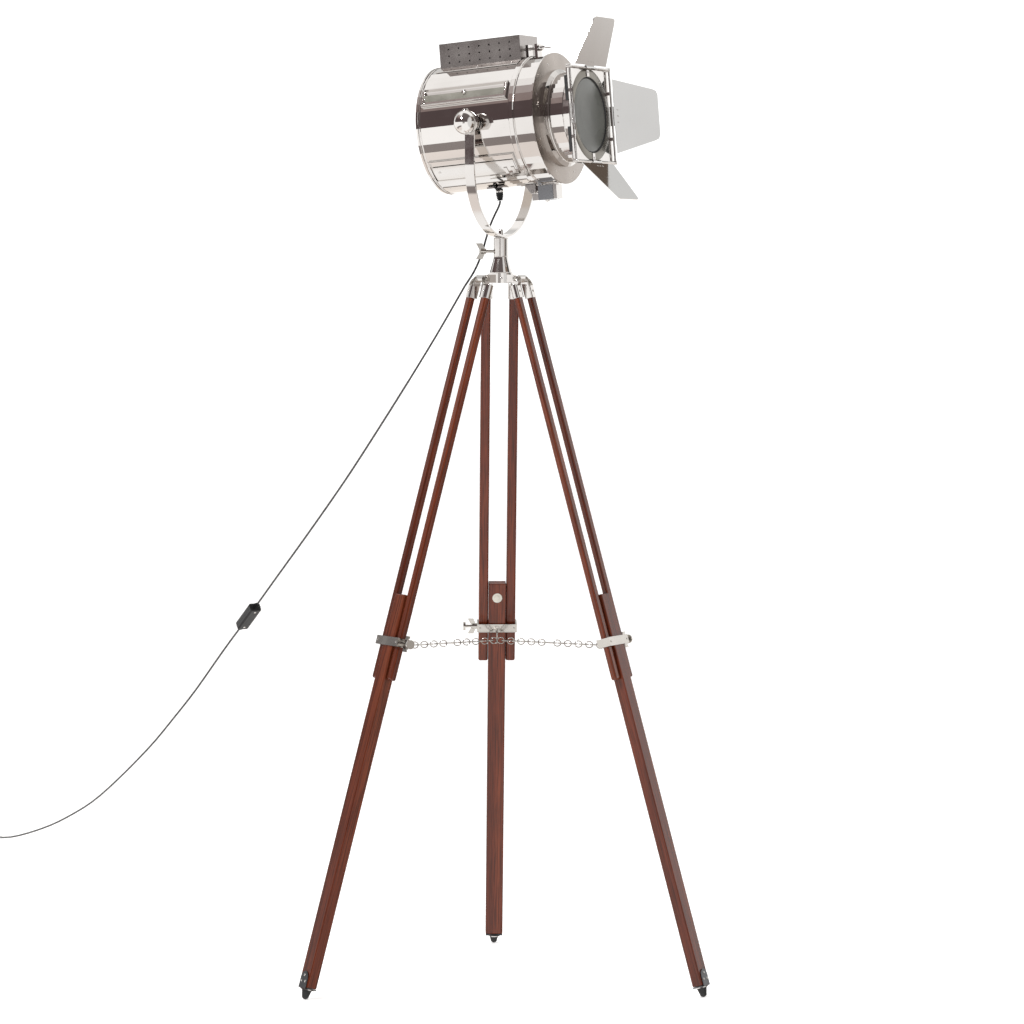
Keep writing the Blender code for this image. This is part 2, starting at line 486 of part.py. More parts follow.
def mains(root):
    cord_tube("cord_upper", smooth_path(CORD_TOP, 0.011), root)
    cord_tube("cord_mid", smooth_path(CORD_MID, 0.012), root)
    cord_tube("cord_lower", smooth_path(CORD_LOW, 0.050), root)

    along = SWITCH_ALONG.normalized()
    turn = along.to_track_quat("X", "Z").to_matrix().to_4x4()
    box_at = frame("switch_frame", Matrix.Translation(SWITCH_AT) @ turn, root)
    body = block("switch", (-0.0375, -0.0115, -0.0085), (0.0375, 0.0115, 0.0085), box_at,
                 "plastic", 0.003)
    for i, s in enumerate((-1, 1)):
        boot = [(s * 0.0360, 0), (s * 0.0360, 0.0062), (s * 0.0460, 0.0032), (s * 0.0460, 0)]
        add(body, turned(f"switch_boot{i}", boot, box_at, "X", n=20))
    cut(body, rod("switch_bore", "X", -0.06, 0.06, CORD_D / 2 + 0.0006, box_at, n=16),
        block("switch_well", (-0.0138, -0.0060, 0.0033), (0.0135, 0.0060, 0.0200), box_at))
    rocker = [(0.0105, -0.0128), (0.0105, 0.0), (0.0090, 0.0128), (0.0055, 0.0128),
              (0.0050, 0.0), (0.0055, -0.0128)]
    prism("rocker", [(z, x) for z, x in rocker], "Y", -0.0056, 0.0056, box_at, "plastic")

    mid, low = COIL_D / 2, CORD_D
    turned("coil", [(0.0002, mid - low), (0.0002, mid + low), (2 * CORD_D, mid + low),
                    (2 * CORD_D, mid - low)], root, "Z", "rubber", 28, COIL_AT)
    x, y, _ = PLUG_AT
    plug = block("plug", (x - 0.019, y - 0.013, 0.0), (x + 0.019, y + 0.013, 0.024), root,
                 "plastic", 0.003)
    for i, s in enumerate((-1, 1)):
        add(plug, rod(f"plug_pin{i}", "X", x + 0.018, x + 0.037, 0.0022, root,
                      centre=(0, y + s * 0.0085, 0.012), n=12))
    add(plug, turned("plug_tail", [(x - 0.040, 0), (x - 0.040, 0.0028), (x - 0.018, 0.0060),
                                   (x - 0.018, 0)], root, "X", n=16, centre=(0, y, 0.012)))


def settle(root):
    """Put the middle of the standing lamp's box, cord apart, over the origin."""
    bpy.context.view_layer.update()
    skip = ("cord_", "switch", "rocker", "coil", "plug")
    low, high = Vector((9, 9, 9)), Vector((-9, -9, -9))
    graph = bpy.context.evaluated_depsgraph_get()
    for obj in bpy.data.objects:
        if obj.type != "MESH" or obj.hide_render or obj.name.startswith(skip):
            continue
        seen = obj.evaluated_get(graph)
        for v in seen.data.vertices:
            p = seen.matrix_world @ v.co
            low = Vector(map(min, low, p))
            high = Vector(map(max, high, p))
    root.location = (-(low.x + high.x) / 2, -(low.y + high.y) / 2, -low.z)


lamp = frame("lamp", Matrix.Identity(4))
stand(lamp)
yoke(lamp)
head_frame = frame("head_frame", Matrix.Translation((0, 0, PIVOT_Z))
                   @ Matrix.Rotation(-HEAD_TILT, 4, "Y"), lamp)
drum(head_frame)
front(head_frame)
barn(head_frame)
inside(head_frame)
mains(lamp)
settle(lamp)
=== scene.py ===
"""Looks of the tripod floor lamp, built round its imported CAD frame."""

import math

import bmesh
import bpy
from mathutils import Matrix, Vector
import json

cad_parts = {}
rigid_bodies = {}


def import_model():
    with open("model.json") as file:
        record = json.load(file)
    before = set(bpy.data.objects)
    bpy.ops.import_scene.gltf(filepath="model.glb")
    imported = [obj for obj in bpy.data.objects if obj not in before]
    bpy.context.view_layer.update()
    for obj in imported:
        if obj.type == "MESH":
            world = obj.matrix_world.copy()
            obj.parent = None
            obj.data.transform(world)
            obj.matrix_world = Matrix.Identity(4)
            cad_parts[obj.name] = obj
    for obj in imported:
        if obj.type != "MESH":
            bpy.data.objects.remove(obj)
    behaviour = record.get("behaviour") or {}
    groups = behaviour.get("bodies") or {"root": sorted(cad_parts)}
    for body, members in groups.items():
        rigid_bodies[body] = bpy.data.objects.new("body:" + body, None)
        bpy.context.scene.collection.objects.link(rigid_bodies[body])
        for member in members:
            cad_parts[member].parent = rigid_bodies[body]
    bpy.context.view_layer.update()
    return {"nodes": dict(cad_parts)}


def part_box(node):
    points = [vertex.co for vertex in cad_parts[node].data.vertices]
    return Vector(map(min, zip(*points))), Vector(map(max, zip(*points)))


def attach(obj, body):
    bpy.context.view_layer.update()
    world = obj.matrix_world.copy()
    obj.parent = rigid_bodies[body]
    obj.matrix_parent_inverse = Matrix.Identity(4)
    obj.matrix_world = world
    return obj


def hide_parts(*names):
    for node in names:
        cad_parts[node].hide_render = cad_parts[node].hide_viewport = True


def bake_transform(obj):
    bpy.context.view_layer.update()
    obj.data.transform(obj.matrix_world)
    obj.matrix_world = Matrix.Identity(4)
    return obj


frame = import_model()

# ---- the lamp's dimensions, metres, about the stem's axis (as in the CAD) ----
LEAN = math.radians(16.22)
PIN_R, PIN_Z = 0.0378, 1.245
LEG_TURN = {"right": -2.1, "back": 117.9, "left": 237.9}
SLAT_W, SLAT_D, SLAT_Y, SLAT_TOP, SLAT_END = 0.0173, 0.0110, 0.02485, 0.0145, 0.7264
BAND_S, PLANK_W, PLANK_D, PLANK_TOP, PLANK_END = 0.6595, 0.0318, 0.0190, 0.5747, 1.2755
CHAIN_R, CHAIN_Z, CHAIN_BACK_Z = 0.2045, 0.6045, 0.5870
PIVOT_Z, HEAD_TILT = 1.515, math.radians(4.78)
DRUM_R, FLANGE_X, NOSE_R, NOSE_END = 0.1115, 0.1170, 0.0785, 0.1740
FRAME_HALF, ROD_X = 0.0818, 0.1785
KNOB_Y, KNOB_R = 0.1390, 0.0213
GLAND_AT = (-0.0027, -0.0200)
YOKE_HALF, YOKE_T, YOKE_W, YOKE_BEND_Z = 0.1225, 0.004, 0.0178, 1.442
CORD_D, COIL_R = 0.0036, 0.020

low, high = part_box("stem")
AXIS = Vector(((low.x + high.x) / 2, (low.y + high.y) / 2, 0.0))
LAMP = Matrix.Translation(AXIS)
HEAD = LAMP @ Matrix.Translation((0, 0, PIVOT_Z)) @ Matrix.Rotation(-HEAD_TILT, 4, "Y")
TAU = 2 * math.pi


def polar(r, degrees):
    a = math.radians(degrees)
    return r * math.cos(a), r * math.sin(a)


def leg_frame(name):
    """A leg's frame: origin on its hinge pin, +X outwards, -Z down along the leg."""
    turn = Matrix.Rotation(math.radians(LEG_TURN[name]), 4, "Z")
    return (LAMP @ turn @ Matrix.Translation((PIN_R, 0, PIN_Z))
            @ Matrix.Rotation(-LEAN, 4, "Y"))


# ---- camera ----
VIEW_TURN, VIEW_DROP, EYE_DIST, EYE_Z = math.radians(26.0), math.radians(3.2), 7.172, 1.2336
camera = bpy.data.objects.new("camera", bpy.data.cameras.new("camera"))
bpy.context.collection.objects.link(camera)
camera.location = AXIS + Vector((EYE_DIST * math.sin(VIEW_TURN),
                                 -EYE_DIST * math.cos(VIEW_TURN), EYE_Z))
camera.rotation_euler = (math.pi / 2 - VIEW_DROP, 0, VIEW_TURN)
camera.data.lens, camera.data.sensor_width = 142.66, 36.0
camera.data.shift_x = 0.0109
camera.data.clip_end = 200
bpy.context.scene.camera = camera


# ---- materials ----
def set_stops(ramp, stops):
    """Fills a colour ramp node with (place, colour) stops."""
    while len(ramp.color_ramp.elements) < len(stops):
        ramp.color_ramp.elements.new(0.5)
    for spot, (place, colour) in zip(ramp.color_ramp.elements, stops):
        spot.position = place
        spot.color = (*(colour if hasattr(colour, "__len__") else [colour] * 3), 1.0)


def mix_colours(nodes, links, factor, a, b):
    """A colour mix node whose inputs are sockets or plain colours."""
    n = nodes.new("ShaderNodeMix")
    n.data_type = "RGBA"
    for socket, value in zip([s for s in n.inputs if s.enabled], (factor, a, b)):
        if hasattr(value, "is_output"):
            links.new(value, socket)
        else:
            socket.default_value = (*value, 1.0)
    return [s for s in n.outputs if s.enabled][0]


class Look:
    """A procedural material, built up node by node."""

    def __init__(self, name, base, metallic=0.0, rough=0.4, **more):
        self.mat = bpy.data.materials.new(name)
        self.mat.use_nodes = True
        self.nodes, self.links = self.mat.node_tree.nodes, self.mat.node_tree.links
        self.shader = self.nodes["Principled BSDF"]
        values = {"Base Color": (*base, 1.0), "Metallic": metallic, "Roughness": rough, **more}
        for key, value in values.items():
            self.shader.inputs[key].default_value = value
        self.place = self.nodes.new("ShaderNodeTexCoord").outputs["Object"]

    def link(self, a, b):
        self.links.new(a, b)
        return self

    def noise(self, scale, detail=2.0, rough=0.5, vector=None, distortion=0.0):
        n = self.nodes.new("ShaderNodeTexNoise")
        n.inputs["Scale"].default_value = scale
        n.inputs["Detail"].default_value = detail
        n.inputs["Roughness"].default_value = rough
        n.inputs["Distortion"].default_value = distortion
        self.link(vector or self.place, n.inputs["Vector"])
        return n.outputs["Fac"]

    def ramp(self, value, stops):
        n = self.nodes.new("ShaderNodeValToRGB")
        set_stops(n, stops)
        self.link(value, n.inputs["Fac"])
        return n.outputs["Color"]

    def spread(self, value, low, high):
        n = self.nodes.new("ShaderNodeMapRange")
        n.inputs["From Min"].default_value, n.inputs["From Max"].default_value = 0.3, 0.7
        n.inputs["To Min"].default_value, n.inputs["To Max"].default_value = low, high
        self.link(value, n.inputs["Value"])
        return n.outputs["Result"]

    def mix(self, factor, a, b):
        return mix_colours(self.nodes, self.links, factor, a, b)

    def bump(self, height, strength, distance=0.001):
        n = self.nodes.new("ShaderNodeBump")
        n.inputs["Strength"].default_value = strength
        n.inputs["Distance"].default_value = distance
        if self.shader.inputs["Normal"].is_linked:
            self.link(self.shader.inputs["Normal"].links[0].from_socket, n.inputs["Normal"])
        self.link(height, n.inputs["Height"])
        self.link(n.outputs["Normal"], self.shader.inputs["Normal"])
        return self

    def colour(self, socket):
        return self.link(socket, self.shader.inputs["Base Color"])

    def roughness(self, socket):
        return self.link(socket, self.shader.inputs["Roughness"])


def metal(name, dark, light, low, high, wave=0.02, grain=0.0):
    m = Look(name, light, 1.0, low)
    m.colour(m.ramp(m.noise(9, 3), [(0.3, dark), (0.7, light)]))
    m.roughness(m.spread(m.noise(34, 4, 0.6), low, high))
    m.bump(m.noise(7, 1), wave, 0.004)
    if grain:
        m.bump(m.noise(420, 3, 0.7), grain, 0.0004)
    return m.mat


def wood(name, turn):
    """Dark reddish varnished hardwood whose grain runs down the leaning leg."""
    m = Look(name, (0.1, 0.03, 0.02), 0.0, 0.4, **{"Coat Weight": 0.75, "Coat Roughness": 0.13,
                                                   "Specular IOR Level": 0.0})
    c, s = math.cos(turn), math.sin(turn)
    down = (math.sin(LEAN) * c, math.sin(LEAN) * s, -math.cos(LEAN))
    out = (math.cos(LEAN) * c, math.cos(LEAN) * s, math.sin(LEAN))
    figure_at = m.nodes.new("ShaderNodeCombineXYZ")
    pores_at = m.nodes.new("ShaderNodeCombineXYZ")
    for i, (axis, wide, fine) in enumerate(((down, 1.6, 12.0), ((-s, c, 0), 46.0, 520.0),
                                            (out, 46.0, 520.0))):
        dot = m.nodes.new("ShaderNodeVectorMath")
        dot.operation = "DOT_PRODUCT"
        dot.inputs[1].default_value = axis
        m.link(m.place, dot.inputs[0])
        for target, scale in ((figure_at, wide), (pores_at, fine)):
            times = m.nodes.new("ShaderNodeMath")
            times.operation = "MULTIPLY"
            times.inputs[1].default_value = scale
            m.link(dot.outputs["Value"], times.inputs[0])
            m.link(times.outputs[0], target.inputs[i])
    figure = m.noise(1.0, 5, 0.6, figure_at.outputs[0], 0.8)
    streak = m.noise(1.0, 3, 0.65, pores_at.outputs[0])
    tone = m.ramp(figure, [(0.28, (0.080, 0.0145, 0.0058)), (0.5, (0.142, 0.0275, 0.0105)),
                           (0.72, (0.205, 0.047, 0.0175))])
    m.colour(m.mix(m.ramp(streak, [(0.42, 0.0), (0.62, 0.7)]), tone, (0.030, 0.008, 0.004)))
    m.roughness(m.spread(figure, 0.46, 0.32))
    m.bump(streak, 0.10, 0.0006).bump(figure, 0.05, 0.002)
    return m.mat


def dull(name, dark, light, low, high, scale=160.0, relief=0.2, **more):
    m = Look(name, light, 0.0, low, **more)
    m.colour(m.ramp(m.noise(40, 3), [(0.35, dark), (0.65, light)]))
    m.roughness(m.spread(m.noise(70, 3), low, high))
    m.bump(m.noise(scale * 6, 3, 0.7), relief, 0.0003)
    return m.mat


NICKEL = metal("nickel", (0.60, 0.575, 0.555), (0.68, 0.655, 0.635), 0.035, 0.08, 0.012)
BRIGHT = metal("nickel_bright", (0.60, 0.575, 0.555), (0.68, 0.66, 0.64), 0.07, 0.14)
LEAF = metal("leaf_nickel", (0.62, 0.61, 0.60), (0.66, 0.65, 0.64), 0.05, 0.09, 0.004)
# painted shade: nickel darkened well below the rest, standing for the shade and the nose's
# reflection on the flange face; it is also rougher
SHADED_SATIN = metal("satin_nickel_painted_shade", (0.36, 0.32, 0.29), (0.41, 0.37, 0.34), 0.26, 0.34, 0.01, 0.04)
RING = metal("ring_nickel", (0.19, 0.175, 0.15), (0.24, 0.225, 0.20), 0.24, 0.34, 0.01, 0.06)
PERFORATED = metal("vent_nickel", (0.30, 0.275, 0.265), (0.40, 0.375, 0.36), 0.17, 0.24, 0.03)
BLUED = metal("blued_nickel", (0.24, 0.245, 0.26), (0.33, 0.335, 0.35), 0.16, 0.26, 0.03, 0.04)
FITTING = metal("fitting_nickel", (0.42, 0.395, 0.365), (0.52, 0.495, 0.46), 0.10, 0.20, 0.03)
STEEL = metal("foot_steel", (0.055, 0.055, 0.06), (0.12, 0.12, 0.125), 0.28, 0.42, 0.03, 0.15)
RUBBER = dull("rubber", (0.010, 0.010, 0.010), (0.022, 0.022, 0.022), 0.5, 0.7)
SHEATH = dull("cord_sheath", (0.016, 0.016, 0.017), (0.030, 0.030, 0.031), 0.38, 0.5, 90, 0.1)
PLASTIC = dull("black_plastic", (0.006, 0.006, 0.007), (0.012, 0.012, 0.013), 0.28, 0.4,
               **{"Specular IOR Level": 0.25})
CERAMIC = dull("ceramic", (0.68, 0.66, 0.60), (0.80, 0.78, 0.72), 0.2, 0.3)
WOODS = {name: wood(f"wood_{name}", math.radians(t)) for name, t in LEG_TURN.items()}


def lens_look():
    m = Look("frosted_lens", (0.10, 0.105, 0.09), 0.0, 0.30, **{"Coat Weight": 0.25,
                                                               "Coat Roughness": 0.25})
    m.colour(m.ramp(m.noise(9, 2, 0.5), [(0.3, (0.080, 0.082, 0.071)),
                                         (0.7, (0.130, 0.133, 0.118))]))
    m.bump(m.noise(240, 3, 0.7), 0.15, 0.0006)
    return m.mat


def bulb_look():
    m = Look("opal_bulb", (0.86, 0.84, 0.78), 0.0, 0.3, **{"Subsurface Weight": 0.2})
    m.colour(m.ramp(m.noise(20), [(0.3, (0.80, 0.78, 0.72)), (0.7, (0.90, 0.88, 0.83))]))
    return m.mat


PANE = dull("cover_pane", (0.215, 0.208, 0.178), (0.275, 0.266, 0.232), 0.24, 0.34, 60, 0.05)
CREAM = dull("bolt_cap", (0.58, 0.56, 0.48), (0.66, 0.64, 0.56), 0.2, 0.3, 60, 0.05)
LENS, BULB = lens_look(), bulb_look()

FINISH = {"lens": LENS, "bulb": BULB, "socket": CERAMIC, "stem_screw": FITTING,
          "latch_screw": BRIGHT, "gland": PLASTIC, "switch": PLASTIC, "rocker": PLASTIC,
          "plug": PLASTIC, "reflector": BRIGHT, "barn_frame": BRIGHT}
for node, obj in frame["nodes"].items():
    look = FINISH.get(node, NICKEL)
    if node.startswith("leaf_"):
        look = LEAF
    elif node.startswith("leg_"):
        side = node.split("_")[1]
        if "slat" in node or "plank" in node:
            look = WOODS[side]
        elif "foot_bracket" in node:
            look = STEEL
        elif "foot_tip" in node:
            look = RUBBER
        elif node.endswith("_bracket"):
            look = NICKEL
        else:
            look = FITTING
    obj.data.materials.clear()
    obj.data.materials.append(look)


# ---- mesh building ----
SHARP, BEVEL_FROM = 35.0, 40.0    # degrees: edges past these stay sharp, or are bevelled
STILL = Matrix.Identity(4)


def at(axis, h, a, b):
    """A point h along the axis and (a, b) across it."""
    return {"X": (h, a, b), "Y": (b, h, a), "Z": (a, b, h)}[axis]


class Build:
    """Gathers shapes into one mesh, each placed by its own matrix."""

    def __init__(self):
        self.verts, self.faces = [], []

    def put(self, verts, faces, m=STILL):
        start = len(self.verts)
        self.verts += [m @ Vector(v) for v in verts]
        self.faces += [tuple(start + i for i in f) for f in faces]
        return self

    def turned(self, profile, m=STILL, axis="Z", n=24, centre=(0, 0, 0)):
        """(height, radius) points; radius 0 at both ends makes a solid, else a ring."""
        verts, rings = [], []
        for h, r in profile:
            count = 1 if r == 0 else n
            rings.append(list(range(len(verts), len(verts) + count)))
            for i in range(count):
                a = TAU * i / n
                spot = at(axis, h, r * math.cos(a), r * math.sin(a))
                verts.append([p + c for p, c in zip(spot, centre)])
        pairs = list(zip(rings, rings[1:])) + ([] if profile[0][1] == 0
                                               else [(rings[-1], rings[0])])
        faces = []
        for lo, hi in pairs:
            for i in range(n):
                j = (i + 1) % n
                if len(lo) == 1:
                    faces.append((lo[0], hi[i], hi[j]))
                elif len(hi) == 1:
                    faces.append((lo[i], hi[0], lo[j]))
                else:
                    faces.append((lo[i], hi[i], hi[j], lo[j]))
        return self.put(verts, faces, m)

    def box(self, lo, hi, m=STILL):
        xs, ys, zs = zip(lo, hi)
        verts = [(x, y, z) for x in xs for y in ys for z in zs]
        faces = [(0, 1, 3, 2), (4, 6, 7, 5), (0, 4, 5, 1), (2, 3, 7, 6), (0, 2, 6, 4), (1, 5, 7, 3)]
        return self.put(verts, faces, m)

    def prism(self, outline, axis, lo, hi, m=STILL):
        n = len(outline)
        verts = [at(axis, h, a, b) for h in (lo, hi) for a, b in outline]
        faces = [tuple(range(n))[::-1], tuple(range(n, 2 * n))]
        faces += [(i, (i + 1) % n, n + (i + 1) % n, n + i) for i in range(n)]
        return self.put(verts, faces, m)

    def tube(self, points, radius, sides=8, closed=False, m=STILL):
        """A round bar along the points; radius is a number, or one number per point."""
        pts = [Vector(p) for p in points]
        n = len(pts)
        sizes = radius if hasattr(radius, "__len__") else [radius] * n
        across, rings = None, []
        for i, p in enumerate(pts):
            before = pts[i - 1] if i or closed else p
            after = pts[(i + 1) % n] if i < n - 1 or closed else p
            along = (after - before).normalized()
            if across is None:
                across = along.orthogonal().normalized()
            across = (across - along * across.dot(along)).normalized()
            up = along.cross(across)
            rings.append([p + sizes[i] * (across * math.cos(TAU * k / sides)
                                          + up * math.sin(TAU * k / sides))
                          for k in range(sides)])
        verts = [v for ring in rings for v in ring]
        faces = []
        for i in range(n if closed else n - 1):
            a, b = i * sides, (i + 1) % n * sides
            faces += [(a + k, a + (k + 1) % sides, b + (k + 1) % sides, b + k)
                      for k in range(sides)]
        if not closed:
            faces += [tuple(range(sides))[::-1], tuple(range((n - 1) * sides, n * sides))]
        return self.put(verts, faces, m)

    def screw(self, m, r=0.0022, rise=0.0012):
        """A slotless dome head standing on the matrix's origin, facing its +Z."""
        return self.turned([(-0.0004, 0), (-0.0004, r), (0.3 * rise, r), (0.75 * rise, 0.72 * r),
                            (rise, 0.3 * r), (rise, 0)], m, n=14)

    def make(self, name, body, look, slot=None, bevel=0.0, angle=SHARP):
        """The finished object; without a body it is a helper, or is placed by its maker."""
        mesh = bpy.data.meshes.new(name)
        mesh.from_pydata([tuple(v) for v in self.verts], [], self.faces)
        mesh.validate()
        obj = bpy.data.objects.new(name, mesh)
        bpy.context.collection.objects.link(obj)
        fix_normals(mesh)
        mesh.materials.append(look)
        for poly in mesh.polygons:
            poly.use_smooth = True
        mesh.set_sharp_from_angle(angle=math.radians(angle))
        if bevel:
            mod = obj.modifiers.new("edges", "BEVEL")
            mod.width, mod.segments, mod.limit_method = bevel, 2, "ANGLE"
            mod.angle_limit = math.radians(BEVEL_FROM)
            mod.harden_normals = True
        if body:
            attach(obj, body)
        return obj


def fix_normals(mesh):
    bm = bmesh.new()
    bm.from_mesh(mesh)
    bmesh.ops.recalc_face_normals(bm, faces=bm.faces)
    bm.to_mesh(mesh)
    bm.free()


def carve(obj, cutters, angle=SHARP):
    """Cuts the helpers out of obj and keeps the result as its mesh."""
    for tool in cutters:
        mod = obj.modifiers.new("cut", "BOOLEAN")
        mod.object, mod.operation, mod.solver = tool, "DIFFERENCE", "EXACT"
    bpy.context.view_layer.update()
    graph = bpy.context.evaluated_depsgraph_get()
    done = bpy.data.meshes.new_from_object(obj.evaluated_get(graph))
    obj.modifiers.clear()
    obj.data = done
    for poly in done.polygons:
        poly.use_smooth = True
    done.set_sharp_from_angle(angle=math.radians(angle))
    for tool in cutters:
        bpy.data.objects.remove(tool, do_unlink=True)
    return obj


def on_drum(x, degrees, r=DRUM_R):
    """A frame on the drum: origin at radius r, +Z outwards, +X along the drum."""
    a = math.radians(degrees)
    out = Vector((0, -math.cos(a), math.sin(a)))
    m = Matrix.Identity(4)
    for i, v in enumerate((Vector((1, 0, 0)), out.cross(Vector((1, 0, 0))), out)):
        m.col[i].xyz = v
    m.col[3].xyz = out * r + Vector((x, 0, 0))
    return HEAD @ m


def facing(direction, spot):
    """A frame at spot whose +Z is the direction."""
    turn = Vector(direction).to_track_quat("Z", "Y").to_matrix().to_4x4()
    return Matrix.Translation(spot) @ turn


# ---- the cord, its route as in the CAD ----
CORD_TOP = [(0.0086, -0.0200, 1.3813), (0.0078, -0.0198, 1.3770), (0.0038, -0.0181, 1.3695),
            (-0.0046, -0.0141, 1.3580), (-0.0148, -0.0086, 1.3430), (-0.0235, -0.0030, 1.3280)]
CORD_MID = [(-0.0240, -0.0026, 1.3268), (-0.0320, 0.0030, 1.3110), (-0.0390, 0.0065, 1.2940),
            (-0.0480, 0.0080, 1.2740), (-0.0590, 0.0085, 1.2545), (-0.0755, 0.0092, 1.2320)]
CORD_LOW = [(-0.0766, 0.0098, 1.2309), (-0.160, 0.066, 1.145), (-0.249, 0.124, 1.057),
            (-0.350, 0.191, 0.961), (-0.452, 0.259, 0.867), (-0.572, 0.338, 0.763),
            (-0.693, 0.419, 0.662), (-0.785, 0.479, 0.584), (-0.876, 0.539, 0.509),
            (-0.983, 0.611, 0.418), (-1.070, 0.668, 0.350), (-1.158, 0.727, 0.285),
            (-1.285, 0.811, 0.2025), (-1.398, 0.885, 0.137), (-1.512, 0.961, 0.087),
            (-1.596, 1.016, 0.056), (-1.703, 1.088, 0.024), (-1.785, 1.142, 0.0055),
            (-1.850, 1.180, 0.0019), (-1.910, 1.190, 0.0019), (-1.962, 1.168, 0.0019)]
COIL_AT, PLUG_AT = (-1.976, 1.1365), (-1.925, 1.060)
SUBSTEPS = 24
SWITCH_AT, SWITCH_ALONG = Vector((-0.785, 0.479, 0.584)), Vector((-0.183, 0.120, -0.153))


def smooth_path(points, step):
    """A smooth curve through the points, cut into even steps of about this length."""
    pts = [Vector(p) for p in points]
    ends = [2 * pts[0] - pts[1]] + pts + [2 * pts[-1] - pts[-2]]
    fine = []
    for a, b, c, d in zip(ends, ends[1:], ends[2:], ends[3:]):
        for i in range(SUBSTEPS):
            t = i / SUBSTEPS
            fine.append(0.5 * (2 * b + (c - a) * t + (2 * a - 5 * b + 4 * c - d) * t * t
                               + (3 * b - a - 3 * c + d) * t ** 3))
    fine.append(pts[-1])
    along = [0.0]
    for a, b in zip(fine, fine[1:]):
        along.append(along[-1] + (b - a).length)
    count = max(4, round(along[-1] / step) + 1)
    out, k = [], 0
    for i in range(count):
        want = along[-1] * i / (count - 1)
        while k < len(along) - 2 and along[k + 1] < want:
            k += 1
        part = (want - along[k]) / max(1e-9, along[k + 1] - along[k])
        out.append(fine[k].lerp(fine[k + 1], min(1.0, part)))
    return out


def coil_points():
    """Spare length wound in two layers, then the short run to the plug."""
    inner, outer = COIL_R - CORD_D / 2, COIL_R + CORD_D / 2
    low_z, top_z = CORD_D / 2, 1.5 * CORD_D
    first, last = 113.0, 180.0 + 3 * 360.0
    points, steps = [], 60
    for i in range(steps + 1):
        turn = first + (last - first) * i / steps
        wound = (turn - first) / 360.0

        def ease(start, width=0.18):
            t = min(1.0, max(0.0, (wound - start) / width))
            return t * t * (3 - 2 * t)

        r = outer + (inner - outer) * (ease(0.86) - ease(2.9))
        z = low_z + (top_z - low_z) * ease(1.86)
        across, along = polar(r, turn)
        points.append((COIL_AT[0] + across, COIL_AT[1] + along, z))
    x, y = PLUG_AT
    tail = [(-1.9978, 1.122, 0.0056), (-1.9978, 1.100, 0.0050), (-1.9968, 1.082, 0.0058),
            (-1.9900, 1.0665, 0.0085), (-1.9790, 1.0605, 0.0112), (x - 0.041, y, 0.0120)]
    return points, tail


def sheath(name, points):
    return Build().tube(points, CORD_D / 2, 12).make(name, None, SHEATH, angle=60)


upper_path = [AXIS + p for p in smooth_path(CORD_TOP, 0.006)]
mid_path = [AXIS + p for p in smooth_path(CORD_MID, 0.006)]
wound, tail = coil_points()
low_path = smooth_path(CORD_LOW, 0.045) + [Vector(p) for p in wound]
low_path += smooth_path([wound[-1]] + tail, 0.008)[1:]
low_path = [AXIS + p for p in low_path]

cord_upper = sheath("cord_upper_sheath", upper_path)
cord_mid = sheath("cord_mid_sheath", mid_path)
cord_lower = sheath("cord_lower_sheath", low_path)
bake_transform(cord_upper)
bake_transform(cord_mid)
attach(cord_lower, "stand")
for piece, nodes in ((cord_upper, ["cord_upper"]), (cord_mid, ["cord_mid"]),
                     (cord_lower, ["cord_lower", "coil"])):
    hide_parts(*nodes)


# ---- head details ----
def bent_strip(side, inner, outer, start, sweep, steps=8):
    """The outline, across the drum, of a plate that follows it; side is the sign of Y."""
    outline = []
    for r, order in ((outer, range(steps + 1)), (inner, range(steps, -1, -1))):
        for i in order:
            a = math.radians(start + sweep * i / steps)
            outline.append((side * r * math.cos(a), r * math.sin(a)))
    return outline


def vent_box():
    """The folded box on top, hollow and perforated, on its riveted flange."""
    shell = Build().box((-0.0916, -0.0360, 0.098), (0.0660, 0.0360, 0.150), HEAD)
    shell = shell.make("vent_housing", None, PERFORATED)
    inside = Build().box((-0.0903, -0.0347, 0.080), (0.0647, 0.0347, 0.1487), HEAD)
    drum = Build().turned([(-0.13, 0), (-0.13, DRUM_R + 0.0004), (0.10, DRUM_R + 0.0004),
                           (0.10, 0)], HEAD, "X", 96)
    holes = Build()
    for column in range(7):
        for row in range(3):
            x, z = -0.0736 + 0.01987 * column, 0.1155 + 0.0120 * row
            holes.turned([(-0.06, 0), (-0.06, 0.0016), (0.06, 0.0016), (0.06, 0)],
                         HEAD, "Y", 8, (x, 0, z))
    for s in (-1, 0, 1):
        for x in (-0.060, -0.030, 0.0, 0.030):
            holes.turned([(0.14, 0), (0.14, 0.0030), (0.16, 0.0030), (0.16, 0)], HEAD, "Z", 10,
                         (x, s * 0.018, 0))
    carve(shell, [b.make(f"vent_tool_{i}", None, PERFORATED)
                  for i, b in enumerate((inside, drum, holes))])
    base = Build()
    for s in (-1, 1):
        strip = bent_strip(s, DRUM_R + 0.0003, DRUM_R + 0.0022, 61.5, 9.0)
        base.prism(strip, "X", -0.0934, 0.0668, HEAD)
    for x in (-0.083, -0.014, 0.052):
        for degrees in (64.6, 115.4):
            base.screw(on_drum(x, degrees, DRUM_R + 0.0020), 0.0024, 0.0012)
    base.make("vent_flange", "head", BRIGHT, "nickel", 0.0004)
    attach(shell, "head")
    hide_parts("vent_box")


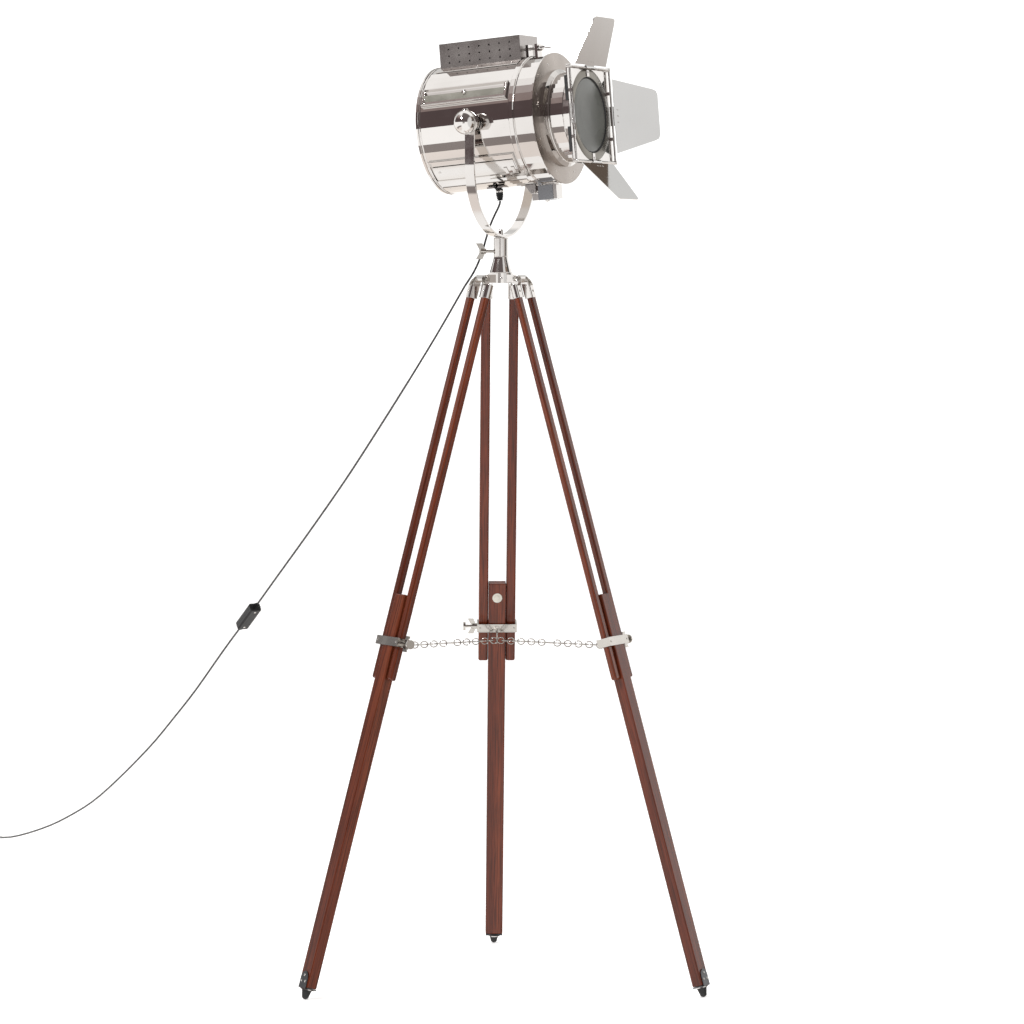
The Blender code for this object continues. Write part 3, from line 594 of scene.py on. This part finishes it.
def cover_details():
    """The four side covers, the drum's rear bead, bosses' washers and seams."""
    dark, pane, bright = Build(), Build(), Build()
    for low, s in ((18.7, 1), (161.3, -1)):
        # upper covers: a black strip of painted shade for the gap over one sloping pane, a rolled
        # lip under it
        blade = on_drum(-0.0170, low + s * 7.2, DRUM_R + 0.0036)
        blade = blade @ Matrix.Rotation(math.radians(s * 26), 4, "X")
        pane.box((-0.0800, -0.0062, -0.0004), (0.0800, 0.0062, 0.0004), blade)
        dark.box((-0.0805, -0.0046, -0.0004), (0.0805, 0.0046, 0.0006),
                 on_drum(-0.0170, low + s * 13.8, DRUM_R + 0.0008))
        bright.tube([on_drum(x, low + s * 1.2, DRUM_R + 0.0062).translation
                     for x in (-0.0988, 0.0653)], 0.0013, 12)
        for x in (-0.0955, 0.0620):
            m = on_drum(x, low + s * 8.5, DRUM_R + 0.0016)
            bright.prism([(-0.0001, s * -0.0120), (0.0055, s * -0.0120), (0.0012, s * 0.0120),
                          (-0.0001, s * 0.0120)][::-1], "X", -0.0016, 0.0016,
                         m @ Matrix.Rotation(math.radians(90), 4, "X"))
        stud = on_drum(-0.0160, low + s * 9.5, DRUM_R + 0.0030)
        bright.turned([(-0.003, 0), (-0.003, 0.0022), (0.0024, 0.0022), (0.0030, 0.0040),
                       (0.0046, 0.0044), (0.0062, 0.0036), (0.0070, 0.0016), (0.0070, 0)],
                      stud, n=20)
    for low, high, s in ((-53.0, -31.0, 1), (233.0, 211.0, -1)):
        # lower covers: a plain plate, hung under a black strip of painted shade for the groove
        pane_at = (low + high) / 2 - s * 2.6
        strip = bent_strip(-1, DRUM_R + 0.0028, DRUM_R + 0.0040, pane_at - s * 7.6, s * 15.2)
        bright.prism(strip, "X", -0.0955, 0.0620, HEAD)
        dark.box((-0.0780, -0.0026, -0.0004), (0.0600, 0.0026, 0.0006),
                 on_drum(0.0, high - s * 2.6, DRUM_R + 0.0006))
        bright.screw(on_drum(-0.0840, pane_at + s * 2.0, DRUM_R + 0.0040), 0.0024, 0.0014)
        for x in (0.0420, 0.0560):
            bright.box((x - 0.0030, -0.0070, 0), (x + 0.0030, 0.0070, 0.0012),
                       on_drum(0, pane_at - s * 3.0, DRUM_R + 0.0040))
    # black strips of painted shade, laid where the covers' gaps and grooves fall dark
    dark.make("cover_gaps", "head", RUBBER, "rubber")
    pane.make("cover_panes", "head", PANE, "nickel", 0.0003)
    bright.make("cover_rims", "head", BRIGHT, "nickel", 0.0003)

    lines = Build()
    x = -0.1036
    lines.turned([(x, DRUM_R - 0.0005), (x, DRUM_R + 0.0006), (x + 0.0008, DRUM_R + 0.0010),
                  (x + 0.0016, DRUM_R + 0.0006), (x + 0.0016, DRUM_R - 0.0005)], HEAD, "X", 96)
    for s in (-1, 1):
        # threaded bosses' washers, between the drum and the yoke
        lines.turned([(s * 0.1140, 0.0118), (s * 0.1140, 0.0150), (s * 0.1152, 0.0150),
                      (s * 0.1152, 0.0118)], HEAD, "Y", 28)
        lines.box((0.018, s * 0.1090, -0.0040), (0.040, s * 0.1122, 0.0040), HEAD)
    lines.make("drum_trim", "head", NICKEL, "nickel")

    seams = Build()
    for degrees in (-68, 248):
        m = on_drum(-0.018, degrees, DRUM_R - 0.0002)
        seams.box((-0.082, -0.0040, 0), (0.082, 0.0040, 0.0011), m)
        for x in (-0.070, -0.024, 0.024, 0.070):
            seams.screw(on_drum(-0.018 + x, degrees, DRUM_R + 0.0007), 0.0020, 0.0010)
    # wire entry over the gland
    seams.box((-0.020, -0.034, -0.1118), (0.012, -0.010, -0.1085), HEAD)
    seams.make("drum_seams", "head", NICKEL, "nickel")


def front_details():
    """Beads, screws, glass clips, latch pin, rings and hinge cheeks of the front."""
    trim = Build()
    for x, r in ((0.0690, DRUM_R + 0.0004), (0.0795, DRUM_R + 0.0004)):
        trim.turned([(x, r - 0.001), (x, r + 0.0008), (x + 0.0012, r + 0.0008),
                     (x + 0.0012, r - 0.001)], HEAD, "X", 96)
    for x in (FLANGE_X + 0.0125, NOSE_END - 0.0170):
        trim.turned([(x, NOSE_R - 0.0005), (x, NOSE_R + 0.0004), (x + 0.0007, NOSE_R + 0.0008),
                     (x + 0.0014, NOSE_R + 0.0004), (x + 0.0014, NOSE_R - 0.0005)], HEAD, "X", 80)
    for k in range(8):
        a = TAU * (k + 0.5) / 8
        m = HEAD @ facing((1, 0, 0), (FLANGE_X, 0.1000 * math.cos(a), 0.1000 * math.sin(a)))
        trim.screw(m, 0.0022, 0.0010)
    for s in (-1, 1):
        # clips that hold the glass, at the top and bottom of its ring
        trim.box((NOSE_END - 0.0004, -0.0050, s * 0.0730 - 0.0060),
                 (NOSE_END + 0.0016, 0.0050, s * 0.0730 + 0.0060), HEAD)
        trim.screw(HEAD @ facing((1, 0, 0), (NOSE_END + 0.0014, 0, s * 0.0745)), 0.0020, 0.0012)
    for s in (-1, 1):
        for x in (0.066, 0.094):
            trim.screw(HEAD @ facing((0, s, 0), (x, s * 0.0120, -0.1262)), 0.0022, 0.0010)
    trim.turned([(-0.1425, 0), (-0.1425, 0.0020), (-0.1412, 0.0036), (-0.1386, 0.0040),
                 (-0.1386, 0)], HEAD, "Z", 16, (0.0800, 0, 0))
    trim.make("front_trim", "front", NICKEL, "nickel")

    # a black rubber seal round the lens, widened down the recess wall so that its black is also
    # painted shade for the recess
    seal_and_shade = Build().turned([(0.1713, 0.0636), (0.1713, 0.0664), (NOSE_END + 0.0004, 0.0664),
                           (NOSE_END + 0.0004, 0.0654), (0.1730, 0.0648),
                           (0.1722, 0.0636)], HEAD, "X", 96)
    seal_and_shade.make("lens_seal", "front", RUBBER, "rubber")
    # the flange face wears the darkened nickel of painted shade and painted reflection
    for name, look, x, inner, outer, rise in (
            ("front_ring_face", RING, NOSE_END, 0.0664, 0.0806, 0.0001),
            ("front_faces", SHADED_SATIN, FLANGE_X, NOSE_R - 0.001, 0.1140, 0.0002)):
        face = Build().turned([(x - 0.0006, inner), (x - 0.0006, outer),
                               (x + rise, outer + 0.0006), (x + 0.0005, outer),
                               (x + 0.0005, inner)], HEAD, "X", 112)
        face.make(name, "front", look, "nickel")
    cheeks = Build()
    for s in (-1, 1):
        cheeks.box((0.0685, s * 0.0118 - 0.0012, -0.1395), (0.0975, s * 0.0118 + 0.0012, -0.1135),
                   HEAD)
    cheeks.make("front_hinge_cheeks", "front", BLUED, "nickel", 0.0006)


def barn_details():
    """The square frame's screws, rod caps and rod eyes, black strips of painted shade for each
    slot, and the leaves' hinges.
    """
    trim = Build()
    h = FRAME_HALF
    for a in (-1, 1):
        for b in (-1, 1):
            m = HEAD @ facing((1, 0, 0), (0.1744, a * 0.0705, b * 0.0705))
            trim.screw(m, 0.0024, 0.0010)
            # rounded caps over the rods' corners
            trim.turned([(ROD_X - 0.0060, 0), (ROD_X - 0.0060, 0.0036), (ROD_X + 0.0018, 0.0036),
                         (ROD_X + 0.0030, 0.0022), (ROD_X + 0.0030, 0)], HEAD, "X", 16,
                        (0, a * h, b * h))
    for a in (-1, 1):
        for order in (1, -1):
            for e in (-0.0400, 0.0400):
                # an eye round the rod, on the frame's upright or level sides
                lo, hi = (a * h - 0.0016, e - 0.0030), (a * h + 0.0016, e + 0.0030)
                trim.box((0.1735, *lo[::order]), (ROD_X, *hi[::order]), HEAD)
    trim.make("barn_frame_trim", "barn_frame", BRIGHT, "nickel", 0.0003)
    # painted shade: thin black strips standing for the dark inside of each slot
    slot_shade = Build()
    for a in (-1, 1):
        for e in (-1, 1):
            z = sorted((e * 0.0225, e * 0.0660))
            slot_shade.box((0.1681, a * 0.0838 - 0.0007, z[0]), (0.1733, a * 0.0838 + 0.0007, z[1]),
                      HEAD)
            slot_shade.box((0.1681, z[0], a * 0.0838 - 0.0007), (0.1733, z[1], a * 0.0838 + 0.0007),
                      HEAD)
    slot_shade.make("barn_frame_slots", "barn_frame", RUBBER, "rubber")

    for name, turn, flare in (("top", 90, 66.2), ("bottom", -90, 50.9), ("near", 180, 64.0),
                              ("far", 0, 49.4)):
        m = (HEAD @ Matrix.Rotation(math.radians(turn), 4, "X")
             @ Matrix.Translation((ROD_X, h, 0)) @ Matrix.Rotation(math.radians(flare), 4, "Z"))
        strap = Build()
        strap.box((0.0046, 0.0004, -0.0160), (0.0150, 0.0014, 0.0160), m)
        for z in (-0.0110, 0.0, 0.0110):
            strap.screw(m @ facing((0, 1, 0), (0.0110, 0.0012, z)), 0.0015, 0.0008)
            strap.screw(m @ facing((0, -1, 0), (0.0110, -0.0005, z)), 0.0015, 0.0007)
        strap.make(f"leaf_{name}_hinge", f"leaf_{name}", BRIGHT, "nickel", 0.0002)


def gland_details():
    """The gland's bright band and ribs, and the wires' sleeve beside it."""
    spot = (*GLAND_AT, 0)
    band = Build().turned([(-0.1190, 0.0060), (-0.1190, 0.0070), (-0.1172, 0.0073),
                           (-0.1154, 0.0070), (-0.1154, 0.0060)], HEAD, "Z", 20, spot)
    band.make("gland_band", "head", BRIGHT, "nickel")
    ribs = Build()
    for i in range(4):
        z = -0.1232 - 0.0028 * i
        r = 0.0068 - 0.0005 * i
        ribs.turned([(z, r - 0.0012), (z, r), (z - 0.0014, r), (z - 0.0014, r - 0.0012)],
                    HEAD, "Z", 18, spot)
    # the wires' sleeve comes out of the drum and dives into the gland
    sleeve = ((-0.0410, -0.1020), (-0.0405, -0.1075), (-0.0355, -0.1118), (-0.0290, -0.1140),
              (-0.0240, -0.1162))
    ribs.tube([HEAD @ Vector((GLAND_AT[0], y, z)) for y, z in sleeve], 0.0017, 10)
    ribs.make("gland_ribs", "head", PLASTIC, "plastic")


# ---- stand details ----
def stand_details():
    """The stem's beads, the hub's set screws and the two tilt knobs."""
    trim = Build()
    for z in (1.2838, 1.3155):
        trim.turned([(z, 0.0122), (z, 0.0130), (z + 0.0005, 0.0134), (z + 0.0010, 0.0130),
                     (z + 0.0010, 0.0122)], LAMP, "Z", 48)
    trim.turned([(1.2545, 0.0150), (1.2545, 0.0206), (1.2556, 0.0206), (1.2564, 0.0198),
                 (1.2564, 0.0150)], LAMP, "Z", 48)
    for turn in LEG_TURN.values():
        # a set screw between each two lugs, in the hub's rim
        out = Vector((*polar(1, turn + 60), 0))
        trim.screw(LAMP @ facing(out, out * 0.0223 + Vector((0, 0, 1.2458))), 0.0024, 0.0012)
    trim.make("stem_trim", "stand", BRIGHT, "nickel")

    for name, s in (("near", -1), ("far", 1)):
        # a bolt, a neck and a ball, with a flat-topped button on the ball
        ball = [(s * 0.1130, 0), (s * 0.1130, 0.0040),
                (s * 0.1247, 0.0040), (s * 0.1247, 0.0150)]
        ball += [(s * (KNOB_Y + h), r)
                 for r, h in (polar(KNOB_R, a) for a in range(-42, 85, 6))]
        knob = Build().turned(ball + [(s * (KNOB_Y + KNOB_R), 0)], LAMP, "Y", 64,
                              (0, 0, PIVOT_Z))
        centre = LAMP @ Matrix.Translation((0, s * KNOB_Y, PIVOT_Z))
        knob.turned([(0.0180, 0), (0.0180, 0.0062), (0.0215, 0.0058), (0.0232, 0.0044),
                     (0.0238, 0.0020), (0.0238, 0)], centre, "Z", 28)
        piece = knob.make(f"knob_{name}_ball", f"knob_{name}", NICKEL, "nickel")
        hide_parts(f"knob_{name}")


def yoke_bar():
    """The flat bar bent to a U, with its spigot and top stud."""
    top = PIVOT_Z + 0.0095
    steps = 96
    bend = []
    for r, order in ((YOKE_HALF + YOKE_T / 2, range(steps + 1)),
                     (YOKE_HALF - YOKE_T / 2, range(steps, -1, -1))):
        bend += [(r * math.cos(math.pi * (1 + i / steps)),
                  YOKE_BEND_Z + r * math.sin(math.pi * (1 + i / steps))) for i in order]
    outer, inner = bend[:steps + 1], bend[steps + 1:]
    left_out, right_out, right_in, left_in = outer[0][0], outer[-1][0], inner[0][0], inner[-1][0]
    loop = YOKE_BEND_Z + 0.001    # keeps the bend's shading out of the straight arms
    ring = ([(left_in, loop), (left_in, top), (left_out, top), (left_out, loop)] + outer
            + [(right_out, loop), (right_out, top), (right_in, top), (right_in, loop)] + inner)
    bar = Build().prism(ring, "X", -YOKE_W / 2, YOKE_W / 2, LAMP)
    low = YOKE_BEND_Z - YOKE_HALF
    bar.turned([(1.2625, 0), (1.2625, 0.0070), (1.2632, 0.0077), (low, 0.0077),
                (low + 0.0005, 0.0042), (low + 0.0105, 0.0042), (low + 0.0125, 0.0030),
                (low + 0.0128, 0)], LAMP, "Z", 32)
    piece = bar.make("yoke_bar", "yoke", NICKEL, "nickel", 0.0004)
    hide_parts("yoke")


def band_trim(body, m):
    """The clamp band's rolled lips, rivets and washer, and the bolt's thread."""
    z = -BAND_S
    trim = Build()
    for s in (-1, 1):
        x0, x1 = s * 0.0121 - 0.0006, s * 0.0121 + 0.0006
        trim.box((x0, -0.0360, z + 0.0060), (x1, 0.0360, z + 0.0078), m)
        trim.box((x0, -0.0360, z - 0.0078), (x1, 0.0360, z - 0.0060), m)
        for y in (-0.0310, 0.0310):
            trim.screw(m @ facing((s, 0, 0), (s * 0.0124, y, z)), 0.0018, 0.0009)
    trim.turned([(0.0361, 0.0030), (0.0361, 0.0066), (0.0367, 0.0066), (0.0367, 0.0030)],
                m, "Y", 20, (0, 0, z))
    for k in range(5):
        y = 0.0536 + 0.0008 * k
        trim.turned([(y, 0.0022), (y, 0.0026), (y + 0.0004, 0.0028), (y + 0.0004, 0.0022)],
                    m, "Y", 12, (0, 0, z))
    trim.make(f"{body}_band_trim", body, FITTING, "nickel")


def bracket_trim(body, m):
    """Nuts on the hinge pin, the slats' screws, and straps from hinge to ferrule."""
    trim = Build()
    for s in (-1, 1):
        trim.turned([(s * 0.0158, 0), (s * 0.0158, 0.0052), (s * 0.0172, 0.0052),
                     (s * 0.0182, 0.0036), (s * 0.0182, 0)], m, "Y", 6)
        for side in (1, -1):
            spot = (side * 0.0070, s * SLAT_Y, -0.0240)
            trim.screw(m @ facing((side, 0, 0), spot), 0.0022, 0.0012)
        path = [(0.0060, s * 0.0146, 0.0010), (0.0076, s * 0.0165, -0.0040),
                (0.0080, s * 0.0198, -0.0095), (0.0076, s * 0.0225, -0.0135)]
        for a, b in zip(path, path[1:]):
            run = Vector(b) - Vector(a)
            half = run.length / 2 + 0.0006
            trim.box((-0.0032, -0.0008, -half), (0.0032, 0.0008, half),
                     m @ facing(run, (Vector(a) + Vector(b)) / 2))
    trim.make(f"{body}_bracket_trim", body, FITTING, "hub_nickel", 0.0003)


def ferrules(body, m):
    """The hinge pin, its two ears and the two cups that hold the slats."""
    ear = [(-0.0358, -0.0066), (-0.0358, 0.0066)]
    ear += [polar(0.0068, a)[::-1] for a in range(0, 181, 9)]
    shell = Build().turned([(-0.0178, 0), (-0.0178, 0.0030), (0.0178, 0.0030), (0.0178, 0)],
                           m, "Y", 24)
    for s in (-1, 1):
        lo, hi = sorted((s * 0.0133, s * 0.0158))
        shell.prism(ear, "Y", lo, hi, m)
        cup = []
        for dx, dy, start in ((1, 1, 0), (-1, 1, 90), (-1, -1, 180), (1, -1, 270)):
            for x, y in (polar(0.0050, a) for a in range(start, start + 91, 15)):
                cup.append((dx * 0.0020 + x, s * 0.02475 + dy * 0.00525 + y))
        shell.prism(cup, "Z", -0.0360, -0.0118, m)
    piece = shell.make(f"{body}_ferrules", body, NICKEL, "hub_nickel", 0.0005, 30)
    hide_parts(f"{body}_bracket")


def wooden_bars(body, m, look):
    """The two slats and the plank between them, with eased edges."""
    for side, s in (("a", -1), ("b", 1)):
        slat = Build().box((-SLAT_D / 2, s * SLAT_Y - SLAT_W / 2, -SLAT_END),
                           (SLAT_D / 2, s * SLAT_Y + SLAT_W / 2, -SLAT_TOP), m)
        piece = slat.make(f"{body}_slat_{side}_bar", body, look, "wood", 0.0034)
        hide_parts(f"{body}_slat_{side}")
    plank = Build().box((-PLANK_D / 2, -PLANK_W / 2, -PLANK_END),
                        (PLANK_D / 2, PLANK_W / 2, -PLANK_TOP), m)
    piece = plank.make(f"{body}_plank_bar", f"{body}_lower", look, "wood", 0.0020)
    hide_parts(f"{body}_plank")


def plank_fittings(body, m):
    """The stop bolt on the plank's inner face, and the foot's screws, plate and rubber."""
    lower = f"{body}_lower"
    bolt = m @ facing((-1, 0, 0), (-PLANK_D / 2 + 0.0001, 0, -0.6015))
    cap = Build().turned([(-0.001, 0), (-0.001, 0.0089), (0.0008, 0.0089), (0.0010, 0.0050),
                          (0.0024, 0.0045), (0.0030, 0.0026), (0.0030, 0)], bolt, n=24)
    cap.make(f"{body}_stop_bolt", lower, CREAM, "nickel")

    foot = Build()
    for y, up in ((-0.0062, 0.0100), (0.0062, 0.0100), (0.0, 0.0205)):
        foot.screw(m @ facing((1, 0, 0), (0.0114, y, -PLANK_END + up)), 0.0021, 0.0011)
    foot.turned([(-PLANK_END - 0.0040, 0), (-PLANK_END - 0.0040, 0.0132),
                 (-PLANK_END - 0.0024, 0.0132), (-PLANK_END - 0.0024, 0)], m, "Z", 24)
    foot.make(f"{body}_foot_screws", lower, BRIGHT, "foot_steel")

    tip_r = 0.0062
    ball = (PIN_Z - tip_r) / math.cos(LEAN)    # down the leg, to rest the tip on the floor
    tip = [(-PLANK_END - 0.0028, 0), (-PLANK_END - 0.0028, 0.0092)]
    tip += [(-ball - down, r) for r, down in (polar(tip_r, a) for a in range(0, 81, 10))]
    rubber = Build().turned(tip + [(-ball - tip_r, 0)], m, "Z", 32)
    piece = rubber.make(f"{body}_foot_rubber", lower, RUBBER, "rubber")
    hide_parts(f"{body}_foot_tip")


def chain(name, turn_from, turn_to, body):
    """Ring and oval links from a leg's band to the middle of the span."""
    a, b = (Vector((*polar(CHAIN_R, t), CHAIN_BACK_Z if t == LEG_TURN["back"] else CHAIN_Z))
            for t in (turn_from, turn_to))
    along = (b - a).normalized()
    half = (b - a).length / 2
    side = along.cross(Vector((0, 0, 1))).normalized()
    up = side.cross(along)
    links = Build()
    count, wire = 10, 0.0009
    step = (half - 0.004) / count
    for i in range(count):
        centre = a + along * (0.004 + step * (i + 0.5))
        ring = i % 2 == 0
        across = up if ring else side
        lead = Vector((0.90, 0.44, 0)) if ring else along
        long_r, wide_r = (0.0062, 0.0056) if ring else (step * 0.86, 0.0030)
        points = [centre + lead * (long_r * math.cos(TAU * k / 16))
                  + across * (wide_r * math.sin(TAU * k / 16)) for k in range(16)]
        links.tube(points, wire, 6, closed=True, m=LAMP)
    piece = links.make(f"{name}_links", body, FITTING, "chain_nickel", angle=60)
    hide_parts(name)


def hooks():
    """Eyes on the bands' inner faces, where the chain hangs."""
    for name in LEG_TURN:
        m = leg_frame(name)
        eye = Build()
        eye.turned([(-0.0008, 0), (-0.0008, 0.0046), (0.0008, 0.0046), (0.0012, 0.0026),
                    (0.0012, 0)], m @ facing((-1, 0, 0), (-0.0126, 0, -BAND_S)), n=18)
        points = [(-0.0128 - 0.0042 * math.sin(math.pi * k / 10), 0,
                   -BAND_S - 0.0006 - 0.0044 * (1 - math.cos(math.pi * k / 10)))
                  for k in range(11)]
        eye.tube([m @ Vector(p) for p in points], 0.0010, 8)
        if name == "back":
            # the S-shaped hook that joins the two spans
            bend = [(-0.0155 - 0.0045 * math.sin(1.7 * math.pi * k / 14), 0,
                     -BAND_S - 0.0010 - 0.0290 * k / 14) for k in range(15)]
            eye.tube([m @ Vector(p) for p in bend], 0.0013, 8)
        eye.make(f"leg_{name}_chain_eye", f"leg_{name}", FITTING, "chain_nickel", angle=60)


# ---- switch and plug ----
def switch_details():
    """The inline switch's ribs, seam, rocker rim and screws."""
    along = SWITCH_ALONG.normalized()
    m = (LAMP @ Matrix.Translation(SWITCH_AT) @ along.to_track_quat("X", "Z").to_matrix().to_4x4())
    body = Build()
    for s in (-1, 1):
        for k in range(5):
            x = s * (0.0385 + 0.0016 * k)
            r = 0.0064 - 0.0006 * k
            body.turned([(x, r - 0.0018), (x, r), (x + s * 0.0009, r),
                         (x + s * 0.0009, r - 0.0018)], m, "X", 16)
    body.box((-0.0378, -0.0117, -0.0004), (0.0378, -0.0112, 0.0004), m)
    body.box((-0.0378, 0.0112, -0.0004), (0.0378, 0.0117, 0.0004), m)
    rim = [(-0.0150, -0.0075), (0.0150, -0.0075), (0.0150, 0.0075), (-0.0150, 0.0075)]
    for (x0, y0), (x1, y1) in zip(rim, rim[1:] + rim[:1]):
        body.box((min(x0, x1) - 0.0006, min(y0, y1) - 0.0006, 0.0078),
                 (max(x0, x1) + 0.0006, max(y0, y1) + 0.0006, 0.0090), m)
    body.make("switch_trim", "stand", PLASTIC, "plastic", 0.0002)
    screws = Build()
    for x in (-0.028, 0.028):
        screws.screw(m @ facing((0, 0, -1), (x, 0, -0.0084)), 0.0022, 0.0006)
    screws.make("switch_screws", "stand", BRIGHT, "nickel")


def plug_details():
    """The plug's ribbed grip and its two pins."""
    x, y = PLUG_AT
    grip = Build()
    for k in range(5):
        r = 0.0034 + 0.0006 * k
        s = x - 0.0385 + 0.0040 * k
        grip.turned([(s, r - 0.0012), (s, r + 0.0006), (s + 0.0018, r + 0.0006),
                     (s + 0.0018, r - 0.0012)], LAMP, "X", 16, (0, y, 0.012))
    for s in (-1, 1):
        for k in range(5):
            grip.box((x - 0.012 + 0.005 * k, y + s * 0.0130 - 0.0006, 0.006),
                     (x - 0.0095 + 0.005 * k, y + s * 0.0130 + 0.0006, 0.018), LAMP)
    grip.make("plug_grip", "stand", PLASTIC, "plastic", 0.0002)
    pins = Build()
    for s in (-1, 1):
        pins.turned([(x + 0.0185, 0.0020), (x + 0.0185, 0.00235), (x + 0.0368, 0.00235),
                     (x + 0.0374, 0.0016), (x + 0.0374, 0.0008), (x + 0.0200, 0.0008)], LAMP,
                    "X", 14, (0, y + s * 0.0085, 0.012))
    pins.make("plug_pins", "stand", BRIGHT, "nickel")


vent_box()
cover_details()
front_details()
barn_details()
gland_details()
stand_details()
yoke_bar()
for leg_name in LEG_TURN:
    leg, leg_at = f"leg_{leg_name}", leg_frame(leg_name)
    band_trim(leg, leg_at)
    bracket_trim(leg, leg_at)
    ferrules(leg, leg_at)
    wooden_bars(leg, leg_at, WOODS[leg_name])
    plank_fittings(leg, leg_at)
chain("chain_left_a", LEG_TURN["left"], LEG_TURN["back"], "chain_left_a_half")
chain("chain_left_b", LEG_TURN["back"], LEG_TURN["left"], "chain_left_b_half")
chain("chain_right_a", LEG_TURN["back"], LEG_TURN["right"], "chain_right_a_half")
chain("chain_right_b", LEG_TURN["right"], LEG_TURN["back"], "chain_right_b_half")
hooks()
switch_details()
plug_details()

switch_pieces = [bpy.data.objects[n] for n in ("switch_trim", "switch_screws", "plug_grip")]
switch_pieces += [frame["nodes"][n] for n in ("switch", "rocker", "plug")]


# ---- floor, world and light ----
def stage():
    """The pale floor, the studio that the nickel mirrors, and one soft key light."""
    mesh = bpy.data.meshes.new("floor")
    half = 40.0
    mesh.from_pydata([(x * half, y * half, -0.0004)
                      for x, y in ((-1, -1), (1, -1), (1, 1), (-1, 1))], [], [(0, 1, 2, 3)])
    floor = bpy.data.objects.new("floor", mesh)
    bpy.context.collection.objects.link(floor)
    pale = Look("floor_pale", (0.93, 0.93, 0.93), 0.0, 0.8, **{"Emission Color": (1, 1, 1, 1),
                                                               "Emission Strength": 0.42})
    mesh.materials.append(pale.mat)
    floor.visible_glossy = False

    world = bpy.data.worlds.new("studio")
    bpy.context.scene.world = world
    world.use_nodes = True
    nodes, links = world.node_tree.nodes, world.node_tree.links
    sky = nodes["Background"]
    way = nodes.new("ShaderNodeTexCoord").outputs["Generated"]
    split = nodes.new("ShaderNodeSeparateXYZ")
    links.new(way, split.inputs[0])

    def ramp(socket, stops):
        unit = nodes.new("ShaderNodeMapRange")
        unit.inputs["From Min"].default_value = -1.0
        links.new(socket, unit.inputs["Value"])
        n = nodes.new("ShaderNodeValToRGB")
        set_stops(n, [((where + 1) / 2, colour) for where, colour in stops])
        links.new(unit.outputs["Result"], n.inputs["Fac"])
        return n.outputs["Color"]

    def blend(factor, a, b):
        return mix_colours(nodes, links, factor, a, b)

    def mask(axis, low, high):
        """0 below low, 1 above high, along one axis of the direction."""
        n = nodes.new("ShaderNodeMapRange")
        n.inputs["From Min"].default_value, n.inputs["From Max"].default_value = low, high
        links.new(split.outputs[axis], n.inputs["Value"])
        return n.outputs["Result"]

    def both(a, b):
        n = nodes.new("ShaderNodeMath")
        n.operation = "MULTIPLY"
        links.new(a, n.inputs[0])
        links.new(b, n.inputs[1])
        return n.outputs[0]

    white, peach, dusk = (1.0, 0.995, 0.985), (0.84, 0.78, 0.74), (0.26, 0.23, 0.22)
    plum, cream, mid_grey = (0.085, 0.062, 0.062), (0.9, 0.84, 0.78), (0.60, 0.60, 0.59)
    sand, taupe, pale, coal = ((0.75, 0.7, 0.66), (0.46, 0.42, 0.39), (0.73, 0.73, 0.725),
                               (0.07, 0.07, 0.065))
    near = ramp(split.outputs["Z"], [
        (-1.0, white), (-0.90, white), (-0.87, peach), (-0.66, peach), (-0.62, dusk),
        (-0.50, dusk), (-0.465, white), (0.014, white), (0.024, plum), (0.40, plum),
        (0.50, (0.17, 0.125, 0.118)), (0.57, (0.245, 0.19, 0.18)), (0.727, (0.39, 0.34, 0.33)),
        (0.85, white), (1.0, white)])
    far = ramp(split.outputs["Z"], [
        (-1.0, cream), (-0.90, white), (-0.75, white), (-0.72, cream), (-0.40, cream),
        (-0.25, white), (0.25, white), (0.35, mid_grey), (0.62, mid_grey), (0.75, white),
        (1.0, white)])
    right = ramp(split.outputs["Z"], [
        (-1.0, white), (0.014, white), (0.024, (0.10, 0.08, 0.08)), (1.0, (0.15, 0.13, 0.125))])
    far_front = ramp(split.outputs["Z"], [
        (-1.0, sand), (-0.55, sand), (-0.50, taupe), (-0.22, taupe), (-0.16, white),
        (0.35, white), (0.45, (0.8, 0.8, 0.78)), (1.0, white)])
    ahead = ramp(split.outputs["Y"], [
        (-1.0, pale), (-0.08, pale), (0.05, (0.22, 0.16, 0.12)), (0.32, coal), (0.60, coal),
        (0.75, (0.55, 0.50, 0.45)), (1.0, (0.8, 0.78, 0.75))])
    near_side = blend(mask("X", -0.36, -0.24), near, right)
    far_side = blend(mask("X", 0.18, 0.30), far, far_front)
    around = blend(mask("Y", -0.05, 0.10), near_side, far_side)
    behind = both(mask("X", -0.955, -0.975), mask("Z", 0.10, 0.16))
    around = blend(behind, around, (0.20, 0.19, 0.19))
    stripe = both(mask("Y", -0.92, -0.955),
                  both(mask("Z", -0.25, -0.20), mask("Z", 0.022, 0.0)))
    stripe = both(stripe, both(mask("X", -0.06, -0.02), mask("X", 0.36, 0.30)))
    around = blend(stripe, around, (0.30, 0.28, 0.27))
    links.new(blend(mask("X", 0.62, 0.75), around, ahead), sky.inputs["Color"])
    sky.inputs["Strength"].default_value = 1.35

    key = bpy.data.lights.new("key", "AREA")
    key.shape, key.size, key.energy = "DISK", 0.9, 150
    lamp = bpy.data.objects.new("key", key)
    bpy.context.collection.objects.link(lamp)
    lamp.location = AXIS + Vector((-1.2, -3.6, 4.2))
    lamp.rotation_euler = (Vector((0, 0, 1.0)) + AXIS - lamp.location).to_track_quat(
        "-Z", "Y").to_euler()
    bpy.context.scene.view_settings.view_transform = "Standard"


stage()

import json
